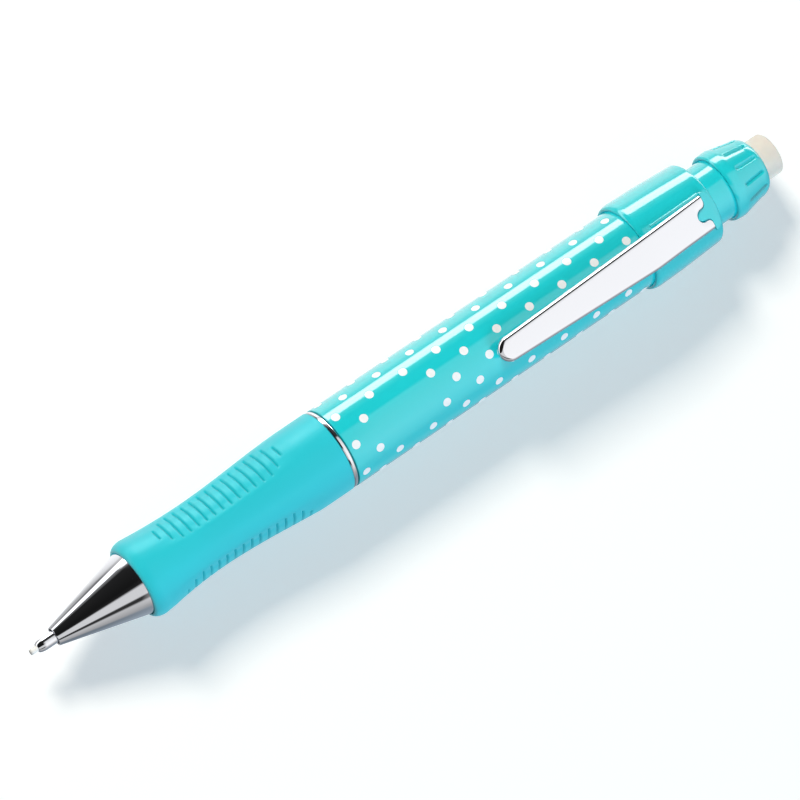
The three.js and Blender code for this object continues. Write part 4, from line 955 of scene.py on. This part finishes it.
class PENCIL_OT_eraser_unit(bpy.types.Operator):
    """Makes the neck with its helical groove, the grooved knob and the eraser."""

    bl_idname = "fabric_pencil.eraser_unit"
    bl_label = "Neck, knob and eraser"

    def execute(self, context):
        self.neck()
        self.knob()
        start, end = span("eraser")
        turned("vinyl_eraser", [(start, 0), (start, 3.47), (end, 3.47), (end, 0)],
               "eraser_unit", "eraser", "eraser", radius=0.3)
        return {"FINISHED"}

    def neck(self):
        """A tube whose bore carries the helical groove of the eraser drive."""
        start, end = span("push_sleeve")
        lug = span("eraser_carrier")[0] + 0.6
        bead = span("eraser_knob")[0] + 0.9
        outer, raised, bore, groove_depth, steps = 5.03, 5.17, 4.38, 0.35, 130
        outside = [(start, outer), (bead, outer), (bead + 0.15, raised), (bead + 0.45, raised),
                   (bead + 0.6, outer), (end, outer)]
        angles = around(sizes().sides)
        points = turned_points(outside, len(angles))
        for i in range(steps + 1):
            x = end - (end - start) * i / steps
            points += [
                place(x, bore + groove_depth * self.groove_share(x - lug, angle), angle)
                for angle in angles
            ]
        faces = ring_faces(len(outside) + steps + 1, len(angles), True)
        finish_piece("threaded_neck", points, faces, "push_unit", "gloss", "push_sleeve")

    def groove_share(self, run, angle):
        """1 inside the helical groove and 0 outside it, for a run along the axis from the lug's place."""
        lead, first, last, flat_half, edge_half = 8.0, -3.1, 12.4, 0.8, 1.0
        turns = round(run / lead - angle / math.tau)
        middle = (angle / math.tau + turns) * lead
        if not first < middle < last:
            return 0.0
        return 1 - blend_share(abs(run - middle), flat_half, edge_half)

    def knob(self):
        """A tapered cap with a round crown and grooves for the fingers, open at both ends."""
        start, end = span("eraser_knob")
        rim, belly, shoulder, mouth, steps = 5.55, 5.83, 4.98, 4.08, 40
        crown, swell = end - 1.65, start + 1.8
        profile = [(start, rim - 0.02), *arc(swell, rim, 1.8, belly - rim, 150, 90, 8)]
        for i in range(1, steps):
            share = i / steps
            profile.append((swell + (crown - swell) * share, belly + (shoulder - belly) * share))
        profile += arc(crown, mouth, end - crown, shoulder - mouth, 90, 0, 16)
        profile = eased([
            *profile, (end, 3.58), (end - 1.4, 3.58), (end - 1.4, 4.33), (start + 2.7, 4.33),
            (start + 2.7, 5.13), (start + 1.6, 5.13), (start + 1.6, 5.27), (start + 0.8, 5.27),
            (start + 0.8, 5.13), (start, 5.13),
        ], sizes().edge / MM)
        sides = 2 * sizes().sides
        faces = ring_faces(len(profile), sides, True)
        mesh = run_tree("knob_flutes", knob_flutes, {
            "Groove Width": 0.9 * MM, "Groove Depth": sizes().flute_depth, "Groove Count": 12,
            "Turn": math.radians(4.5), "Start": LEAD_END + (start + 2.2) * MM,
            "End": LEAD_END + (start + 6.6) * MM, "Run Out": 0.45 * MM, "Material": finish("gloss"),
        }, new_mesh("knob_plain", turned_points(profile, sides), faces))
        finish_mesh("fluted_knob", mesh, "knob", "gloss", "eraser_knob", sharp=45)


class PENCIL_OT_spring(bpy.types.Operator):
    """Makes the push spring, a round wire whose end coils lie close."""

    bl_idname = "fabric_pencil.spring"
    bl_label = "Push spring"

    def execute(self, context):
        coils, steps_per_coil, wire, wire_sides, travel = 11, 32, 0.28, 12, 3.5
        start, end = span("chuck_spring")
        low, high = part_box("chuck_spring")
        radius = (high[2] - low[2]) / 2 / MM - wire
        end_pitch = 2.1 * wire
        pitch = (end - start - 2 * wire - 2 * end_pitch) / (coils - 2)
        rings = coils * steps_per_coil + 1
        points = []
        for step in range(rings):
            turns = step / steps_per_coil
            in_ends = min(turns, 1) + max(0, turns - coils + 1)
            x = start + wire + end_pitch * in_ends + pitch * (turns - in_ends)
            points += [
                place(x + wire * math.sin(side), radius + wire * math.cos(side), math.tau * turns)
                for side in around(wire_sides)
            ]
        faces = ring_faces(rings, wire_sides, False)
        faces += [range(wire_sides), range(len(points) - wire_sides, len(points))]
        spring = finish_piece(
            "coiled_push_spring", points, faces, "pencil_body", "spring", "chuck_spring")
        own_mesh(spring)
        return {"FINISHED"}


class PENCIL_OT_inner_pieces(bpy.types.Operator):
    """Gives the pieces inside the pencil their finishes."""

    bl_idname = "fabric_pencil.inner_pieces"
    bl_label = "Inner pieces"

    def execute(self, context):
        # Acetal, turned brass and black rubber, each with a fine grain.
        acetal = grained("moulded_acetal", "#ccd4d6", 0.4, 0.0, 0.5, ior=1.48)
        brass = grained("turned_brass", "#c9a65a", 0.2, 1.0, 0.1)
        black = grained("black_rubber", "#26282b", 0.7, 0.0, 0.2)
        dressed = {
            "grip_core": acetal, "mechanism_housing": acetal, "chuck_holder": acetal, "lead_tube": acetal,
            "push_plug": acetal, "eraser_guide": acetal, "eraser_carrier": acetal,
            "chuck": brass, "clutch_ring": brass, "lead_retainer": black,
        }
        for node, material in dressed.items():
            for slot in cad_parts[node].material_slots:
                slot.material = material
        return {"FINISHED"}


class PENCIL_OT_stage(bpy.types.Operator):
    """Sets up the camera, the floor, the lamps and the surroundings."""

    bl_idname = "fabric_pencil.stage"
    bl_label = "Camera, floor and lamps"

    def execute(self, context):
        self.camera()
        self.floor()
        self.lamps()
        self.surroundings()
        context.scene.view_settings.view_transform = "Standard"
        return {"FINISHED"}

    def camera(self):
        """A long lens above the tip, looking down on the clip side."""
        data = bpy.data.cameras.new("camera")
        data.lens = 191.6
        data.sensor_width = 36
        data.clip_end = 20
        camera = new_object("camera", data)
        camera.location = (-0.20402, 0.17524, 0.57946)
        camera.rotation_euler = [math.radians(v) for v in (-4.4735, -24.6492, -30.2826)]
        bpy.context.scene.camera = camera

    def floor(self):
        """A plain white floor that keeps the pencil's soft shadow."""
        material = bpy.data.materials.new("matte_white_floor")
        tree = cleared_tree(material)
        white = add(tree, "ShaderNodeBsdfDiffuse", {"Color": linear("#fbfafa")})
        glow = add(tree, "ShaderNodeEmission", {"Color": (0.9, 1.0, 1.07, 1), "Strength": 1.75})
        camera_ray = add(tree, "ShaderNodeLightPath").outputs["Is Camera Ray"]
        # Only the camera sees the glow, mixed to about a quarter into the white.
        seen = add(tree, "MULTIPLY", [camera_ray, 0.264])
        add(tree, "ShaderNodeOutputMaterial", [add(tree, "ShaderNodeMixShader", [seen, white, glow])])
        half = 3.0
        mesh = new_mesh("floor", [(-half, -half, 0), (half, -half, 0), (half, half, 0), (-half, half, 0)],
                        [(0, 1, 2, 3)])
        mesh.materials.append(material)
        floor = new_object("floor", mesh)
        floor.visible_glossy = False

    def lamp(self, name, angle, forward, distance, size, power, tint, shadow=True):
        """A square soft box at an angle in degrees round the pencil's axis, turned towards the pencil."""
        data = bpy.data.lights.new(name, "AREA")
        data.shape = "SQUARE"
        data.size = size
        data.energy = power
        data.color = tint
        data.use_shadow = shadow
        lamp = new_object(name, data)
        turn = math.radians(angle)
        towards = Vector((forward, -math.sin(turn), math.cos(turn))).normalized()
        side = (Vector((1, 0, 0)) - towards * towards.x).normalized()
        lamp.matrix_world = Matrix.Translation(towards * distance) @ Matrix(
            (side, towards.cross(side), towards)).transposed().to_4x4()
        # What shiny pieces mirror is painted in the surroundings, so the lamps only cast light.
        lamp.visible_glossy = False
        return lamp

    def lamps(self):
        """A key light from the upper left and a fill. The clip light shades the barrel beside the clip."""
        self.lamp("key_light", -54, forward=-0.15, distance=1.5, size=0.3, power=23.5,
                  tint=(1.0, 0.93, 0.82))
        self.lamp("right_fill", 76, forward=0.2, distance=1.2, size=0.35, power=8.4,
                  tint=(0.8, 0.94, 1.0), shadow=False)
        clip_light = self.lamp("clip_light", 35, forward=0.0, distance=1.2, size=0.5, power=7.0,
                               tint=(0.86, 0.94, 1.0))
        # It leaves the floor out, where the pencil's shadow falls to one side only.
        left_out = bpy.data.collections.new("left_out_by_clip_light")
        left_out.objects.link(bpy.data.objects["floor"])
        left_out.collection_objects[0].light_linking.link_state = "EXCLUDE"
        clip_light.light_linking.receiver_collection = left_out

    def brightness_ramp(self, tree, share, stops):
        """Brightness round the axis. A stop is (degrees from straight up towards -Y, level, tint)."""
        ramp = add(tree, "ShaderNodeValToRGB", [share])
        while len(ramp.color_ramp.elements) < len(stops):
            ramp.color_ramp.elements.new(0.5)
        for element, (degrees, level, *tint) in zip(ramp.color_ramp.elements, stops):
            element.position = (degrees + 180) / 360
            element.color = [level / WINDOW_LEVEL * c for c in (tint or (WHITE,))[0]] + [1.0]
        return ramp

    def surroundings(self):
        """White to the eye and pale as light. Shiny pieces mirror a studio with a window on the left."""
        world = bpy.data.worlds.new("studio")
        tree = cleared_tree(world)
        towards = add(tree, "ShaderNodeTexCoord").outputs["Generated"]
        parts = add(tree, SPLIT, [towards]).outputs
        side = add(tree, "MULTIPLY", [parts["Y"], -1.0])
        angle = add(tree, "ARCTAN2", [side, parts["Z"]])
        share = add(tree, RANGE, {"Value": angle, "From Min": -math.pi, "From Max": math.pi})
        # Towards the eraser: floor, window, dark side of the room, bright ceiling, wall, shaded floor.
        rear = self.brightness_ramp(tree, share, [
            (-180, 1.1), (-162, 1.2), (-137, 1.4), (-126, 1.5), (-108, 0.7), (-103, WINDOW_LEVEL),
            (-87, WINDOW_LEVEL), (-83, 0.9), (-76, 0.35), (-66, 0.06), (-38, 0.03), (-32, 0.85), (0, 1.15),
            (35, 1.3), (58, 0.95), (79, 0.45), (92, 0.4, SHADE), (155, 0.44, SHADE), (164, 1.0),
            (180, 1.1),
        ])
        # Towards the tip: the same window, a wider dark side and a narrow soft box.
        front = self.brightness_ramp(tree, share, [
            (-180, 0.62), (-164, 0.62), (-132, 0.53), (-121, 0.2), (-114, 0.3), (-110, 3.0), (-97, 3.0),
            (-91, 0.3), (-76, 0.02), (-17, 0.01), (-3, 0.02), (4, 0.82), (34, 0.82),
            (39, 0.04), (50, 0.04), (57, 0.66), (87, 0.45), (98, 0.27, SHADE), (155, 0.25, SHADE),
            (164, 0.6), (180, 0.62),
        ])
        rearward = add(tree, RANGE, {"Value": parts["X"], "From Min": 0.0, "From Max": 0.16})
        mirrored = add(tree, MIX, {"Factor": rearward, 6: front, 7: rear}, data_type="RGBA").outputs[2]
        diffuse = add(tree, "ShaderNodeBackground", [(0.9, 0.97, 1.0, 1), 0.13])
        studio = add(tree, "ShaderNodeBackground", [mirrored, WINDOW_LEVEL])
        white = add(tree, "ShaderNodeBackground", [(1, 1, 1, 1), 1.0])
        rays = add(tree, "ShaderNodeLightPath").outputs
        lit = add(tree, "ShaderNodeMixShader", [rays["Is Glossy Ray"], diffuse, studio])
        shown = add(tree, "ShaderNodeMixShader", [rays["Is Camera Ray"], lit, white])
        add(tree, "ShaderNodeOutputWorld", [shown])
        bpy.context.scene.world = world


OPERATORS = (
    PENCIL_OT_tip,
    PENCIL_OT_grip,
    PENCIL_OT_barrel,
    PENCIL_OT_dots,
    PENCIL_OT_collar,
    PENCIL_OT_clip,
    PENCIL_OT_eraser_unit,
    PENCIL_OT_spring,
    PENCIL_OT_inner_pieces,
    PENCIL_OT_stage,
)


class PENCIL_PT_panel(bpy.types.Panel):
    """Lists the pieces of the pencil."""

    bl_label = "Fabric pencil"
    bl_space_type = "VIEW_3D"
    bl_region_type = "UI"
    bl_category = "Pencil"

    def draw(self, context):
        for operator in OPERATORS:
            self.layout.operator(operator.bl_idname)
        for group in (sizes(), colours()):
            for name in group.__annotations__:
                self.layout.prop(group, name)


CLASSES = (PencilSizes, PencilColours, *OPERATORS, PENCIL_PT_panel)


def register():
    for item in CLASSES:
        bpy.utils.register_class(item)
    bpy.types.Scene.pencil_sizes = bpy.props.PointerProperty(type=PencilSizes)
    bpy.types.Scene.pencil_colours = bpy.props.PointerProperty(type=PencilColours)


def unregister():
    del bpy.types.Scene.pencil_colours
    del bpy.types.Scene.pencil_sizes
    for item in reversed(CLASSES):
        bpy.utils.unregister_class(item)


def main():
    """Builds the pencil's pieces and the stage."""
    register()
    for operator in OPERATORS:
        group, name = operator.bl_idname.split(".")
        getattr(getattr(bpy.ops, group), name)()


if __name__ == "__main__":
    main()
